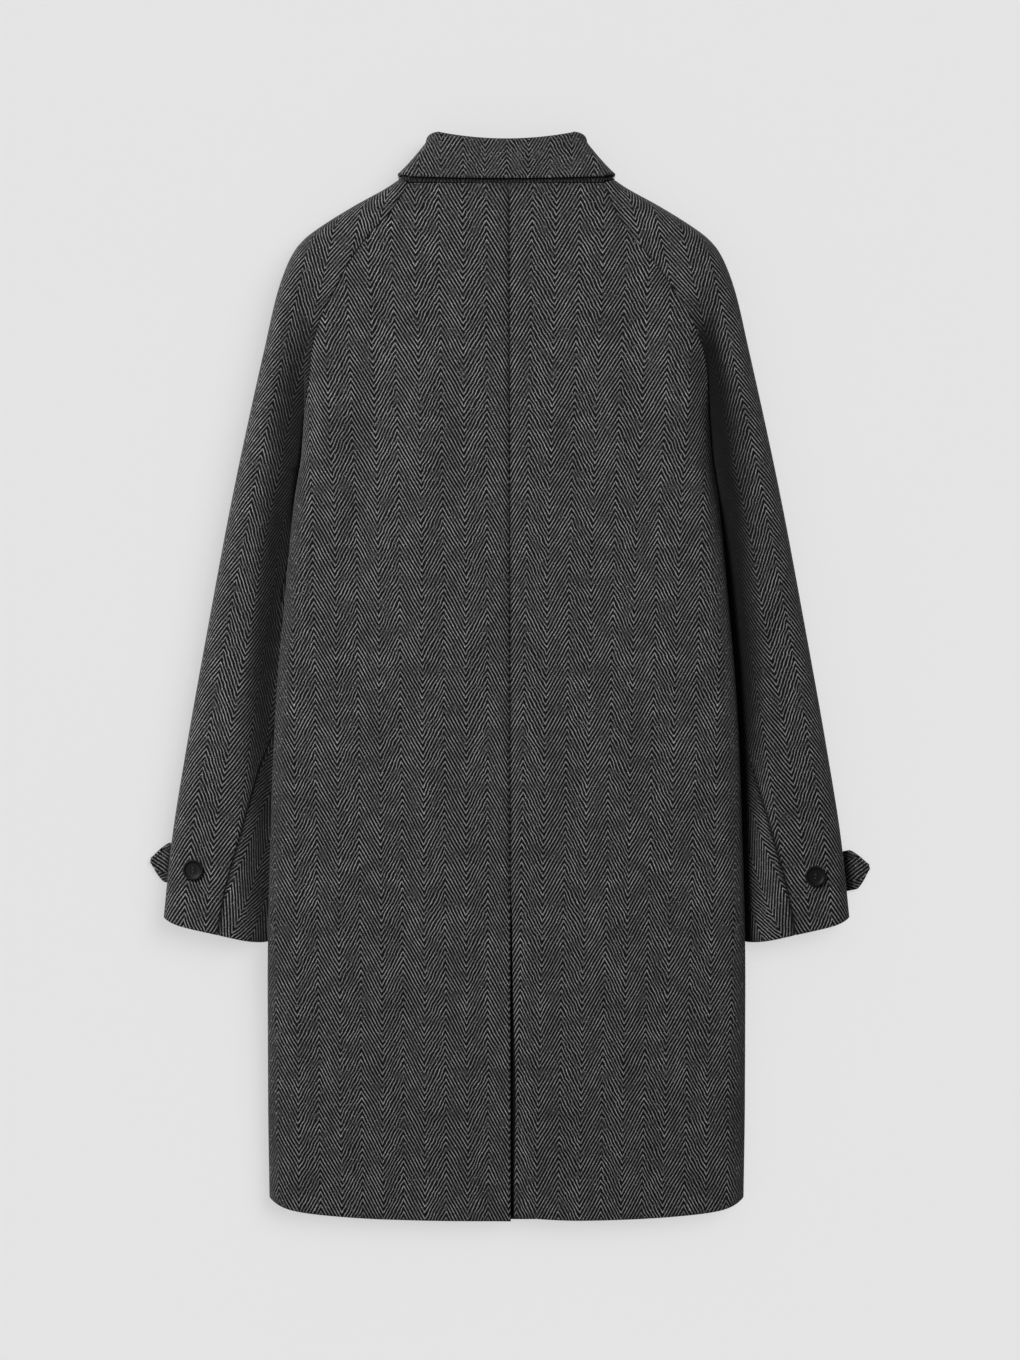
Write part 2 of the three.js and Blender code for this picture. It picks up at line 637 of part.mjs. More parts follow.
// A four-hole button: a turned disc with a dished middle.
function addButton(side, wasm) {
  const { radius, thick, rim, dish, edge, hole, pitch } = button;
  const profile = new THREE.Path();
  profile.moveTo(0, 0);
  profile.lineTo(radius - edge, 0);
  profile.quadraticCurveTo(radius, 0, radius, thick / 2);
  profile.quadraticCurveTo(radius, thick, radius - edge, thick);
  profile.lineTo(radius - rim, thick);
  profile.quadraticCurveTo(radius - rim - edge, thick - dish, radius - rim - 2 * edge, thick - dish);
  profile.lineTo(0, thick - dish);
  const disc = new THREE.LatheGeometry(profile.getPoints(2), 28).rotateX(Math.PI / 2);
  const solid = (geometry) => {
    for (const name of ["normal", "uv"]) geometry.deleteAttribute(name);
    const merged = mergeVertices(geometry, 1e-4);
    const vertProperties = merged.getAttribute("position").array;
    const triVerts = new Uint32Array(merged.index.array);
    return new wasm.Manifold(new wasm.Mesh({ numProp: 3, vertProperties, triVerts }));
  };
  let body = solid(disc);
  for (const [x, y] of [[-1, -1], [-1, 1], [1, -1], [1, 1]]) {
    const drill = new THREE.CylinderGeometry(hole, hole, 3 * thick, 8).rotateX(Math.PI / 2);
    body = body.subtract(solid(drill.translate(x * pitch, y * pitch, 0)));
  }
  const { vertProperties, triVerts } = body.getMesh();
  const geometry = new THREE.BufferGeometry();
  geometry.setAttribute("position", new THREE.BufferAttribute(vertProperties, 3));
  geometry.setIndex(new THREE.BufferAttribute(triVerts, 1));
  const { buttonHalf, buttonDrop } = cuffs[side];
  const mesh = add(`cuff_button_${side}`, geometry, horn);
  mesh.position.copy(place(side, buttonHalf, buttonDrop, sleeveWall(buttonHalf, buttonDrop) + 2 * gap));
}

const coat = new THREE.Group();

function add(name, geometry, finish) {
  const mesh = new THREE.Mesh(geometry, new THREE.MeshStandardMaterial(finish));
  mesh.name = name;
  coat.add(mesh);
  return mesh;
}

function addBody(side) {
  const rows = stations(hemCorner, columns.bodyRows, [underarm + 60, vent.top]);
  const back = rows.map((drop) => backRow(side, drop, columns.back));
  const front = rows.map((drop) => frontRow(side, drop, columns.front));
  add(`back_${side}`, wall(back, cloth, signs[side]), wool);
  add(`front_${side}`, wall(front, cloth, -signs[side]), wool);
}

function addSleeve(side) {
  const { tipDrop } = cuffs[side];
  const last = crossLines[crossLines.length - 1].drop;
  const rows = stations(last, columns.sleeveRows, [underarm + 60, tipDrop + 12]);
  const lines = rows.map((station) => sleeveRows(side, station));
  const back = lines.map((line) => crowd(line.back, columns.sleeveBack));
  const front = lines.map((line) => crowd(line.front, columns.sleeveFront));
  add(`sleeve_back_${side}`, wall(back, cloth, -signs[side]), wool);
  add(`sleeve_front_${side}`, wall(front, cloth, -signs[side]), wool);
}

const library = await Module();
library.setup();
for (const side of ["left", "right"]) {
  addBody(side);
  addSleeve(side);
  addStrap(side);
  addButton(side, library);
}
addCollar();

export default coat;
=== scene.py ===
"""The looks of a long raglan overcoat of herringbone wool that lies flat with its back up.

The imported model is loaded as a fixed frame. Each of its cloth solids is replaced by a finer
piece on the same form, with soft creases, rolled edges and sewing, and the coat lies on a pale
floor under soft light. Places on the coat are given as a tailor gives them: "half" is the
distance from the centre line and "drop" the distance down from the neck seam, in millimetres,
both measured as the coat lies.
"""

from __future__ import annotations

import logging
import math
from dataclasses import dataclass, field
from enum import Enum

import bpy
import numpy as np
from mathutils import Matrix, Vector


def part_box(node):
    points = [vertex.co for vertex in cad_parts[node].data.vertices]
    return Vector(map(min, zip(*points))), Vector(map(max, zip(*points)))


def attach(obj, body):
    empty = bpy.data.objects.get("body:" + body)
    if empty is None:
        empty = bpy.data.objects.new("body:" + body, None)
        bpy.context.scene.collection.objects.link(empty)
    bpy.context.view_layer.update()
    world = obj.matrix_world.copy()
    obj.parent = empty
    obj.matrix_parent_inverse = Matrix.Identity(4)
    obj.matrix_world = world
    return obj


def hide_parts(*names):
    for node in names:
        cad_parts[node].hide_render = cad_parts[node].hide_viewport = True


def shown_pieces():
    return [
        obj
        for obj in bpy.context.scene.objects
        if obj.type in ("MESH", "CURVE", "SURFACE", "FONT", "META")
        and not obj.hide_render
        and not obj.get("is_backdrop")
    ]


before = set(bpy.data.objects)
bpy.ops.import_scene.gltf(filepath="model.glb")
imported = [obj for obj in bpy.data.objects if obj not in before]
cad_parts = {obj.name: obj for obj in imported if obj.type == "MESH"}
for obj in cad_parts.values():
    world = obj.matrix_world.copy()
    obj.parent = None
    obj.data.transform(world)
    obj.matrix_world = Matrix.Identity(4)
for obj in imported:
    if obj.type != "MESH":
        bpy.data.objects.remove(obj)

LOG = logging.getLogger("coat")
MM = 0.001
Array = np.ndarray


class Side(Enum):
    """The wearer's left and right, which are also left and right in the view from above."""

    LEFT = -1
    RIGHT = 1

    @property
    def word(self) -> str:
        """The side's name in lower case."""
        return self.name.lower()


class Table:
    """A short table of named columns, read at any drop on a smooth curve."""

    def __init__(self, drop: tuple[float, ...], **columns: tuple[float, ...]) -> None:
        """Keeps the columns and works out the curve's slope at each row.

        Args:
            drop: The drop of each row.
            **columns: The value of each row, by the column's name.
        """
        self.drop = np.array(drop, float)
        self.columns = {name: np.array(values, float) for name, values in columns.items()}
        self.slopes = {name: self._slopes(values) for name, values in self.columns.items()}

    def _slopes(self, values: Array) -> Array:
        """The slope at each row, zero where the column turns, so that it never overshoots."""
        secant = np.diff(values) / np.diff(self.drop)
        before, after = secant[:-1], secant[1:]
        total = np.where(before * after > 0, before + after, 1.0)
        inner = np.where(before * after > 0, 2 * before * after / total, 0.0)
        return np.concatenate([secant[:1], inner, secant[-1:]])

    def at(self, column: str, drop: Array | float) -> Array:
        """The column's value at a drop.

        Args:
            column: The column's name.
            drop: One or more drops.

        Returns:
            The value at each drop.
        """
        drop = np.clip(np.asarray(drop, float), self.drop[0], self.drop[-1])
        row = np.clip(np.searchsorted(self.drop, drop, side="right") - 1, 0, len(self.drop) - 2)
        step = self.drop[row + 1] - self.drop[row]
        t = (drop - self.drop[row]) / step
        values, slopes = self.columns[column], self.slopes[column]
        flat = mix(values[row], values[row + 1], t * t * (3 - 2 * t))
        return flat + step * t * (1 - t) * ((1 - t) * slopes[row] - t * slopes[row + 1])


def mix(start: Array | float, end: Array | float, share: Array | float) -> Array:
    """The value that lies a share of the way from start to end."""
    return start + (end - start) * share


def clamp(value: Array | float) -> Array:
    """The value held between 0 and 1."""
    return np.clip(value, 0.0, 1.0)


def smooth(value: Array | float) -> Array:
    """A soft step from 0 to 1."""
    return clamp(value) ** 2 * (3 - 2 * clamp(value))


def quarter(value: Array | float) -> Array:
    """A quarter circle that rises steeply from 0 and levels out at 1."""
    return np.sqrt(1 - (1 - clamp(value)) ** 2)


def bell(distance: Array | float, width: float) -> Array:
    """A soft bump that is 1 at no distance and fades over its width."""
    return np.exp(-((distance / width) ** 2))


def place(side: Side, half: Array, drop: Array, height: Array) -> Array:
    """Points of the coat in the row frame, in millimetres.

    Args:
        side: The side of the centre line.
        half: Distance from the centre line.
        drop: Distance down from the neck seam.
        height: Height above the floor.

    Returns:
        An array of points whose last axis holds x, y and z.
    """
    half, drop, height = np.broadcast_arrays(half, drop, height)
    return np.stack([CUT.centre_x + side.value * half, CUT.nape_y - drop, height], axis=-1)


@dataclass(frozen=True)
class Cut:
    """The coat's driving sizes, in millimetres, as in the part's source."""

    cloth: float = 2.6
    gap: float = 0.3
    nape_y: float = 494
    centre_x: float = -3.5
    length: float = 1039
    hem_corner: float = 1016
    underarm: float = 287
    roll_body: float = 24
    roll_body_under: float = 14
    roll_sleeve: float = 18
    roll_sleeve_under: float = 12
    slope: float = 34
    sleeve_fold: float = 7
    sleeve_clear: float = 0.7
    vent_top: float = 735
    vent_dive: float = 34
    vent_grow: float = 34
    vent_underlap: float = 45
    closure_past: float = 45
    closure_ramp: float = 18
    neck_half: float = 97.5
    corner_half: float = 109
    corner_rise: float = 4
    neck_dip: float = 55


CUT = Cut()

BODY_SIDE = Table(
    drop=(105, 157, 200, 267, 317, 417, 517, 617, 817, 917, 1016),
    half=(203.5, 202.5, 202.5, 206, 213, 222, 230.5, 235, 239.5, 239.3, 238),
)
OUTER_EDGE = Table(
    drop=(-4, 3, 22, 42, 54, 66, 85, 112, 162, 242, 322, 442, 562, 660, 740),
    half=(109, 119.5, 153.5, 185.5, 201.5, 212, 221.5, 230.5, 242, 259.8, 276.5, 299, 320.5, 336, 344.5),
)
RAGLAN_SEAM = Table(
    drop=(0, 31, 49, 68, 84, 104, 138, 171, 201, 227, 287),
    left=(97.5, 117.5, 134.5, 149.5, 159.5, 169.5, 186.5, 195.5, 198.5, 203, 208.7),
    right=(97.5, 110.5, 122, 138, 151, 165.5, 185.5, 198, 202.3, 203.6, 208.7),
)
HEIGHTS = Table(
    drop=(0, 60, 105, 300, 450, 620, 760, 900, 1040),
    centre=(29, 32, 32, 30, 30, 29, 28, 26, 22),
    side=(29, 33.5, 36, 36, 36, 35, 32, 27, 22),
    sleeve=(29, 33.5, 36, 36, 34, 31, 27, 27, 27),
    edge=(12, 14, 15, 15, 14, 13, 12, 12, 12),
)
VALLEY = Table(
    drop=(105, 157, 197, 240, 287, 340, 390, 450, 740, 850, 1040),
    body=(36, 29, 21, 12.5, 6.2, 13, 21, 23, 21, 13, 9),
    sleeve=(36, 29, 21, 12.5, 6.2, 9, 12, 12, 12, 12, 12),
    body_round=(0, 0.15, 0.5, 0.85, 1, 1, 1, 1, 1, 1, 1),
    sleeve_round=(0, 0.1, 0.2, 0.5, 0.8, 0.4, 0.1, 0, 0, 0, 0),
)
TUCK = Table(
    drop=(287, 325, 395, 430, 480, 554, 598, 661, 731, 770, 840),
    under=(0, 0, 0, 12, 30, 39, 34, 22, 8, 2, 0),
    lift=(0, 0, 12.4, 12.4, 12.4, 12.4, 12.4, 12.4, 12.4, 12.4, 0),
    seam=(0, 1, 4, 14, 26, 40, 48, 51.5, 54.5, 53, 53),
)
CROSS_LINES = Table(
    drop=(0, 31, 49, 84, 104, 138, 171, 227, 287, 400, 759),
    outer=(-4, 8, 18, 42, 58, 98, 143, 208, 270, 380, 735),
)
BODY_BOW = Table(
    drop=(0, 60, 200, 860, 1016),
    neck=(55, 38, 0, 0, 0),
    hem=(0, 0, 0, 0, 13),
    corner=(0, 0, 0, 0, 10),
)
# How far the first ridge of the weave lies from the centre back seam, and how much wider than
# the cloth's own repeat the others lie apart, where the back spreads over the shoulders.
GRAIN = Table(
    drop=(0, 77, 157, 386, 717, 1039),
    left=(22.4, 22.6, 22.65, 22.7, 22.7, 22.7),
    right=(23.6, 22.4, 21, 16.6, 11, 6),
    spread=(1.1, 1.085, 1.059, 1.0, 0.978, 0.965),
)


@dataclass(frozen=True)
class Crease:
    """A soft trough or ridge. Halves are signed, with the left negative; a trough's rise is too."""

    from_half: float
    from_drop: float
    to_half: float
    to_drop: float
    wide: float
    rise: float

    def height(self, half: Array, drop: Array) -> Array:
        """How far it lifts the cloth.

        Args:
            half: Signed distance from the centre line.
            drop: Distance down from the neck seam.

        Returns:
            The lift at each place.
        """
        along = np.array([self.to_half - self.from_half, self.to_drop - self.from_drop])
        size = float(along @ along)
        t = ((half - self.from_half) * along[0] + (drop - self.from_drop) * along[1]) / size
        near_half = self.from_half + clamp(t) * along[0]
        near_drop = self.from_drop + clamp(t) * along[1]
        away = np.hypot(half - near_half, drop - near_drop)
        return self.rise * bell(away, self.wide) * smooth(t * 4 + 0.5) * smooth((1 - t) * 4 + 0.5)


# The largest folds, which the part's source has too.
FOLDS = (
    Crease(-122, 95, -150, 390, 15, -2.6),
    Crease(-72, 110, -84, 520, 24, 1.8),
    Crease(128, 120, 146, 330, 17, -1.8),
    Crease(96, 560, 110, 1000, 30, 1.5),
    Crease(-104, 620, -96, 1010, 26, -1.5),
)
# The smaller creases of the back.
BACK_CREASES = (
    Crease(-119, 100, -150, 388, 17, -1.8),
    Crease(-82, 110, -96, 400, 18, 0.9),
    Crease(-176, 280, -196, 420, 9, -1.1),
    Crease(-188, 430, -176, 560, 13, 0.9),
    Crease(-40, 60, -64, 150, 14, -0.7),
    Crease(-150, 470, -118, 600, 16, -0.8),
    Crease(-212, 520, -204, 690, 10, -0.8),
    Crease(-24, 690, -58, 760, 9, 0.7),
    Crease(-30, 720, -90, 735, 8, -0.6),
    Crease(-160, 700, -170, 900, 22, 0.9),
    Crease(-60, 820, -52, 1000, 18, 0.8),
    Crease(172, 300, 196, 400, 11, -1.0),
    Crease(60, 90, 92, 190, 16, -0.8),
    Crease(182, 460, 168, 640, 15, 0.8),
    Crease(30, 330, 44, 520, 20, 0.6),
    Crease(26, 716, 74, 742, 9, 0.6),
    Crease(204, 600, 198, 780, 12, -0.8),
    Crease(150, 760, 168, 960, 20, -0.9),
    Crease(48, 860, 60, 1010, 16, -0.7),
)
# Creases of the hidden front, of the same kind.
FRONT_CREASES = (
    Crease(-150, 200, -120, 420, 22, 1.4),
    Crease(-70, 480, -92, 760, 26, 1.2),
    Crease(-140, 700, -128, 960, 24, 1.3),
    Crease(140, 230, 118, 470, 24, 1.4),
    Crease(84, 560, 100, 860, 26, 1.2),
    Crease(160, 800, 150, 980, 20, 1.1),
)
# The creases of each sleeve, with the half measured from the sleeve's outer edge.
SLEEVE_CREASES = (
    Crease(-12, 250, -40, 330, 8, -0.9),
    Crease(-46, 330, -20, 400, 9, 0.8),
    Crease(-14, 420, -44, 470, 7, -0.8),
    Crease(-50, 500, -26, 600, 11, 0.7),
    Crease(-30, 610, -62, 660, 9, -0.7),
    Crease(-20, 130, -48, 200, 12, -0.9),
)


def fold_height(half: Array, drop: Array) -> Array:
    """The lift of the largest folds, as in the part's source.

    Args:
        half: Signed distance from the centre line.
        drop: Distance down from the neck seam.

    Returns:
        The lift at each place.
    """
    lift = np.zeros(np.broadcast(half, drop).shape)
    for fold in FOLDS:
        t = (drop - fold.from_drop) / (fold.to_drop - fold.from_drop)
        aside = (half - mix(fold.from_half, fold.to_half, clamp(t))) / fold.wide
        lift += fold.rise * np.exp(-aside * aside) * smooth(t * 4 + 0.5) * smooth((1 - t) * 4 + 0.5)
    return lift


# The waves that no cloth is free of: radians to a millimetre across and down, and the phase.
WAVES = (
    (0.041, 0.013, 1.3),
    (-0.019, 0.037, 2.1),
    (0.067, -0.021, 0.4),
    (0.024, 0.062, 4.2),
    (0.088, 0.051, 5.0),
)


def ripple(x: Array, y: Array, seed: float = 0.0) -> Array:
    """Small uneven waves that no cloth is free of, from -1 to 1.

    Args:
        x: Place across, in millimetres.
        y: Place down, in millimetres.
        seed: Shifts the waves, so that pieces differ.

    Returns:
        The waves' height at each place.
    """
    return sum(np.sin(a * x + b * y + c + seed * (1 + a)) for a, b, c in WAVES) / len(WAVES)


@dataclass(frozen=True)
class SewnSeam:
    """How a seam draws the cloth down and how much painted shade darkens its groove, in millimetres and
    shares.
    """

    deep: float
    wide: float
    pucker: float
    pucker_wide: float
    pucker_run: float
    shade: float
    shade_wide: float

    def sink(self, away: Array, along: Array) -> Array:
        """How far the cloth lies down at a distance from the seam and a place along it."""
        groove = self.deep * bell(away, self.wide)
        return groove + self.pucker * np.sin(along / self.pucker_run) * bell(away, self.pucker_wide)

    def dark(self, away: Array) -> Array:
        """How much painted shade darkens the groove at a distance from the seam."""
        return self.shade * bell(away, self.shade_wide)


# Each seam's last two values are the painted shade in its groove and how far it spreads.
CENTRE_SEAM = SewnSeam(1.3, 6.5, 0.22, 8, 2.3, 0.6, 1.6)
RAGLAN_SEWN = SewnSeam(0.7, 5, 0.12, 9, 2.9, 0.42, 1.6)
UNDERARM_SEWN = SewnSeam(0.35, 4, 0, 1, 1, 0.95, 1.6)


def above_underarm(drop: Array, stop: float = 20, fade: float = 60) -> Array:
    """1 on the shoulder, fading to 0 just above the underarm."""
    return smooth((CUT.underarm - stop - drop) / fade)


def where_seen(drop: Array) -> Array:
    """1 where the sleeve's underarm seam has come out from under the body, 0 above that."""
    return smooth((drop - 420) / 100)


class CoatShape:
    """How the coat lies: the height of every wall, as in the part's source."""

    def seam_half(self, side: Side, drop: Array | float) -> Array:
        """Distance of the centre back seam from the centre line."""
        return side.value * (2.5 + 2 * np.asarray(drop, float) / CUT.length)

    def panel_side(self, side: Side, drop: float) -> float:
        """Half width of a body panel: the raglan seam, then the side."""
        edge = float(BODY_SIDE.at("half", drop))
        if drop > CUT.underarm:
            return edge
        return min(edge, float(RAGLAN_SEAM.at(side.word, drop)))

    def upper_wall(self, side: Side, half: Array, drop: Array | float, inside: bool | None = None) -> Array:
        """Height of the back and the shoulder, down to the valley between body and sleeve.

        Args:
            side: The side of the centre line.
            half: Distance from the centre line.
            drop: Distance down from the neck seam.
            inside: Whether the place is on the body, worked out from the half if None.

        Returns:
            The height at each place.
        """
        half, drop = np.broadcast_arrays(np.asarray(half, float), np.asarray(drop, float))
        edge = BODY_SIDE.at("half", drop)
        within = half < edge if inside is None else np.full(half.shape, inside)
        level = clamp(1 - (half / edge) ** 2)
        folds = fold_height(side.value * half, drop) * clamp((edge - half) / CUT.roll_body)
        top = mix(HEIGHTS.at("side", drop), HEIGHTS.at("centre", drop), level) + folds
        low = np.minimum(top, np.where(within, VALLEY.at("body", drop), VALLEY.at("sleeve", drop)))
        reach = clamp(np.abs(half - edge) / np.where(within, CUT.roll_body, CUT.slope))
        bend = np.where(within, VALLEY.at("body_round", drop), VALLEY.at("sleeve_round", drop))
        return low + (top - low) * mix(smooth(reach), quarter(reach), bend)

    def sleeve_wall(self, half: Array, drop: Array) -> Array:
        """Height of the sleeve's upper wall below the underarm, sloping in beside the body."""
        top, low = HEIGHTS.at("sleeve", drop), VALLEY.at("sleeve", drop)
        reach = clamp((half - BODY_SIDE.at("half", drop)) / CUT.slope)
        return low + (top - low) * mix(smooth(reach), quarter(reach), VALLEY.at("sleeve_round", drop))

    def leaf_lift(self, half: Array, drop: Array) -> Array:
        """Lift of the lower walls over the collar's leaf, which lies under them."""
        dip = CUT.neck_dip * np.maximum(0, 1 - (half / CUT.neck_half) ** 2)
        below = smooth((dip + 30 + 5 + 30 - drop) / 30)
        beside = smooth((CUT.corner_half + 5 + 24 - half) / 24)
        return 3.3 * below * beside

    def under_wall(self, side: Side, half: Array, drop: Array) -> Array:
        """Height of the front's outer face, flat on the floor but for what lies under it."""
        tucked = BODY_SIDE.at("half", drop) - TUCK.at("under", drop)
        sleeve = TUCK.at("lift", drop) * smooth((half - tucked + 52) / 38)
        past = CUT.closure_past + 10 + CUT.closure_ramp
        lap = (CUT.cloth + 3 * CUT.gap) * smooth((past - half) / CUT.closure_ramp)
        return np.maximum(sleeve, self.leaf_lift(half, drop)) + (lap if side is Side.RIGHT else 0)

    def strap_lift(self, side: Side, half: Array, drop: Array) -> Array:
        """Lift of a sleeve's lower wall where the cuff strap lies under it."""
        strap = STRAPS[side]
        aside = np.abs(drop - strap.tip_drop - (strap.tip_half - half) * strap.lean) - 20
        inward = strap.tip_half - half - strap.inside
        return 4.7 * smooth(1 - (aside - 12) / 22) * smooth(1 - (inward - 12) / 22)

    def bowed(self, station: float, share: Array, neck_share: float) -> Array:
        """Drop of the points of a body row, which bows at the neck and at the hem."""
        return (
            station
            + neck_share * BODY_BOW.at("neck", station) * (1 - share**2)
            + BODY_BOW.at("hem", station) * (1 - share**3)
            + BODY_BOW.at("corner", station) * (1 - share**20)
        )


SHAPE = CoatShape()


def line_length(points: Array) -> Array:
    """Distance along a line of points to each of them."""
    steps = np.linalg.norm(np.diff(points, axis=0), axis=1)
    return np.concatenate([[0.0], np.cumsum(steps)])


def trimmed(
    points: Array, extra: Array, start: float, end: float, count: int, crowding: float = 14
) -> tuple[Array, Array]:
    """A line cut short at both ends and given a number of points, which crowd where it turns.

    Args:
        points: The dense line, in millimetres.
        extra: Values that go with its points, one row each.
        start: Length to take off at the start.
        end: Length to take off at the end.
        count: How many points the new line has.
        crowding: Added to the length for each radian that the line turns.

    Returns:
        The new line's points and the values that go with them.
    """
    length = line_length(points)
    steps = np.diff(points, axis=0)
    sizes = np.maximum(np.linalg.norm(steps, axis=1), 1e-9)
    turns = np.arccos(np.clip(np.sum(steps[1:] * steps[:-1], axis=1) / (sizes[1:] * sizes[:-1]), -1, 1))
    weight = sizes + crowding * np.concatenate([turns, [0.0]])
    reach = np.concatenate([[0.0], np.cumsum(weight)])
    first = np.interp(start, length, reach)
    last = np.interp(length[-1] - end, length, reach)
    at = np.interp(np.linspace(first, last, count), reach, length)
    both = np.concatenate([points, extra], axis=1)
    found = np.stack([np.interp(at, length, column) for column in both.T], axis=1)
    return found[:, :3], found[:, 3:]


@dataclass(frozen=True)
class Wool:
    """Herringbone wool in a dark and a light yarn, as a finish for the cloth.

    The weave's place on each piece comes from its "weave" attribute: the place across the
    grain, the place down it and how far the nap hides the weave. Its "hollow" attribute
    blends the colour towards the dark yarn as painted shade in creases, seams and under edges.
    """

    name: str = "herringbone_wool"
    dark: tuple[float, float, float, float] = (0.0045, 0.0045, 0.0048, 1)
    light: tuple[float, float, float, float] = (0.62, 0.62, 0.626, 1)
    column: float = 21.75
    pitch: float = 6.35
    slope: float = 1.82
    nap_cover: float = 0.86
    plain_share: float = 0.067
    line_share: float = 0.4
    line_mean: float = 0.09
    fleck_share: float = 0.18
    rough: float = 0.93

    def material(self) -> bpy.types.Material:
        """Builds the material.

        Returns:
            A material with the twill lines, yarn, slubs, nap, painted shade and a soft relief.
        """
        nodes = Nodes(self.name)
        weave = nodes.add("ShaderNodeAttribute", attribute_name="weave").outputs["Vector"]
        split = nodes.add("ShaderNodeSeparateXYZ")
        nodes.feed(weave, split.inputs[0])
        nap = split.outputs["Z"]
        line = self.twill(nodes, weave, split.outputs["X"], split.outputs["Y"])
        patch = nodes.noise(weave, 13, 4.0)
        bare = nodes.scaled(nap, -self.nap_cover, 1.0)
        contrast = nodes.math("MULTIPLY", nodes.around(patch, 1.0, 3.4), bare)
        centred = nodes.math("MULTIPLY", nodes.scaled(line, self.line_share, -self.line_mean), contrast)
        yarn = nodes.noise(weave, 1.15, 2.0)
        fleck = nodes.ramp(nodes.noise(weave, 2.3, 1.0), 0.63, 0.72)
        mottle = nodes.around(nodes.noise(weave, 38, 3.0), 0.98, 0.8)
        share = nodes.scaled(centred, 1.0, self.plain_share)
        lit = nodes.math("MULTIPLY", share, nodes.around(yarn, 0.9, 2.6))
        lit = nodes.math("MULTIPLY", nodes.sum(lit, nodes.math("MULTIPLY", fleck, self.fleck_share)), mottle)
        # Painted shade: this attribute darkens the cloth towards the dark yarn in creases, seams and under
        # edges.
        hollow = nodes.add("ShaderNodeAttribute", attribute_name="hollow").outputs["Fac"]
        colour = nodes.blend(hollow, nodes.blend(lit, self.dark, self.light), self.dark)
        relief = nodes.sum(nodes.math("MULTIPLY", line, contrast), nodes.scaled(yarn, 0.7, 0.0))
        nodes.surface(colour, nodes.bump(relief, 0.5, 0.35), self.rough, specular=0.1, sheen=0.1)
        return nodes.material

    def twill(
        self,
        nodes: Nodes,
        weave: bpy.types.NodeSocket,
        across: bpy.types.NodeSocket,
        down: bpy.types.NodeSocket,
    ) -> bpy.types.NodeSocket:
        """The light yarn's lines, which climb and fall from column to column and wander a little.

        Args:
            nodes: The material's nodes.
            weave: The place on the cloth.
            across: The place across the grain.
            down: The place down the grain.

        Returns:
            A value that is 1 on a line and 0 between lines.
        """
        shiver = nodes.noise(weave, 11, 2.0)
        across = nodes.sum(
            across,
            nodes.around(nodes.noise(weave, 70, 1.0), 0.0, 4.2),
            nodes.around(shiver, 0.0, 2.6),
        )
        down = nodes.sum(
            down,
            nodes.around(nodes.noise(weave, 45, 1.0), 0.0, 5.0),
            nodes.around(shiver, 0.0, -2.4),
        )
        zigzag = nodes.math("PINGPONG", across, self.column)
        climb = nodes.sum(down, nodes.math("MULTIPLY", zigzag, self.slope))
        wave = nodes.math("SINE", nodes.math("MULTIPLY", climb, 2 * math.pi / self.pitch))
        return nodes.ramp(nodes.scaled(wave, 0.5, 0.5), 0.64, 1.0)


@dataclass(frozen=True)
class Plain:
    """A finish in one colour with a fine grain, such as horn, thread or a painted floor."""

    name: str
    colour: tuple[float, float, float]
    roughness: float
    grain: float
    depth: float
    specular: float = 0.5
    vary: float = 0.14

    def material(self) -> bpy.types.Material:
        """Builds the material.

        Returns:
            A material whose colour and relief vary a little over the surface.
        """
        nodes = Nodes(self.name)
        where = nodes.add("ShaderNodeTexCoord").outputs["Object"]
        noise = nodes.noise(where, 1 / self.grain, 3.0)
        dark, light = ((*(share * c for c in self.colour), 1) for share in (1 - self.vary, 1 + self.vary))
        colour = nodes.blend(noise, dark, light)
        nodes.surface(colour, nodes.bump(noise, 0.3, self.depth), self.roughness, self.specular)
        return nodes.material


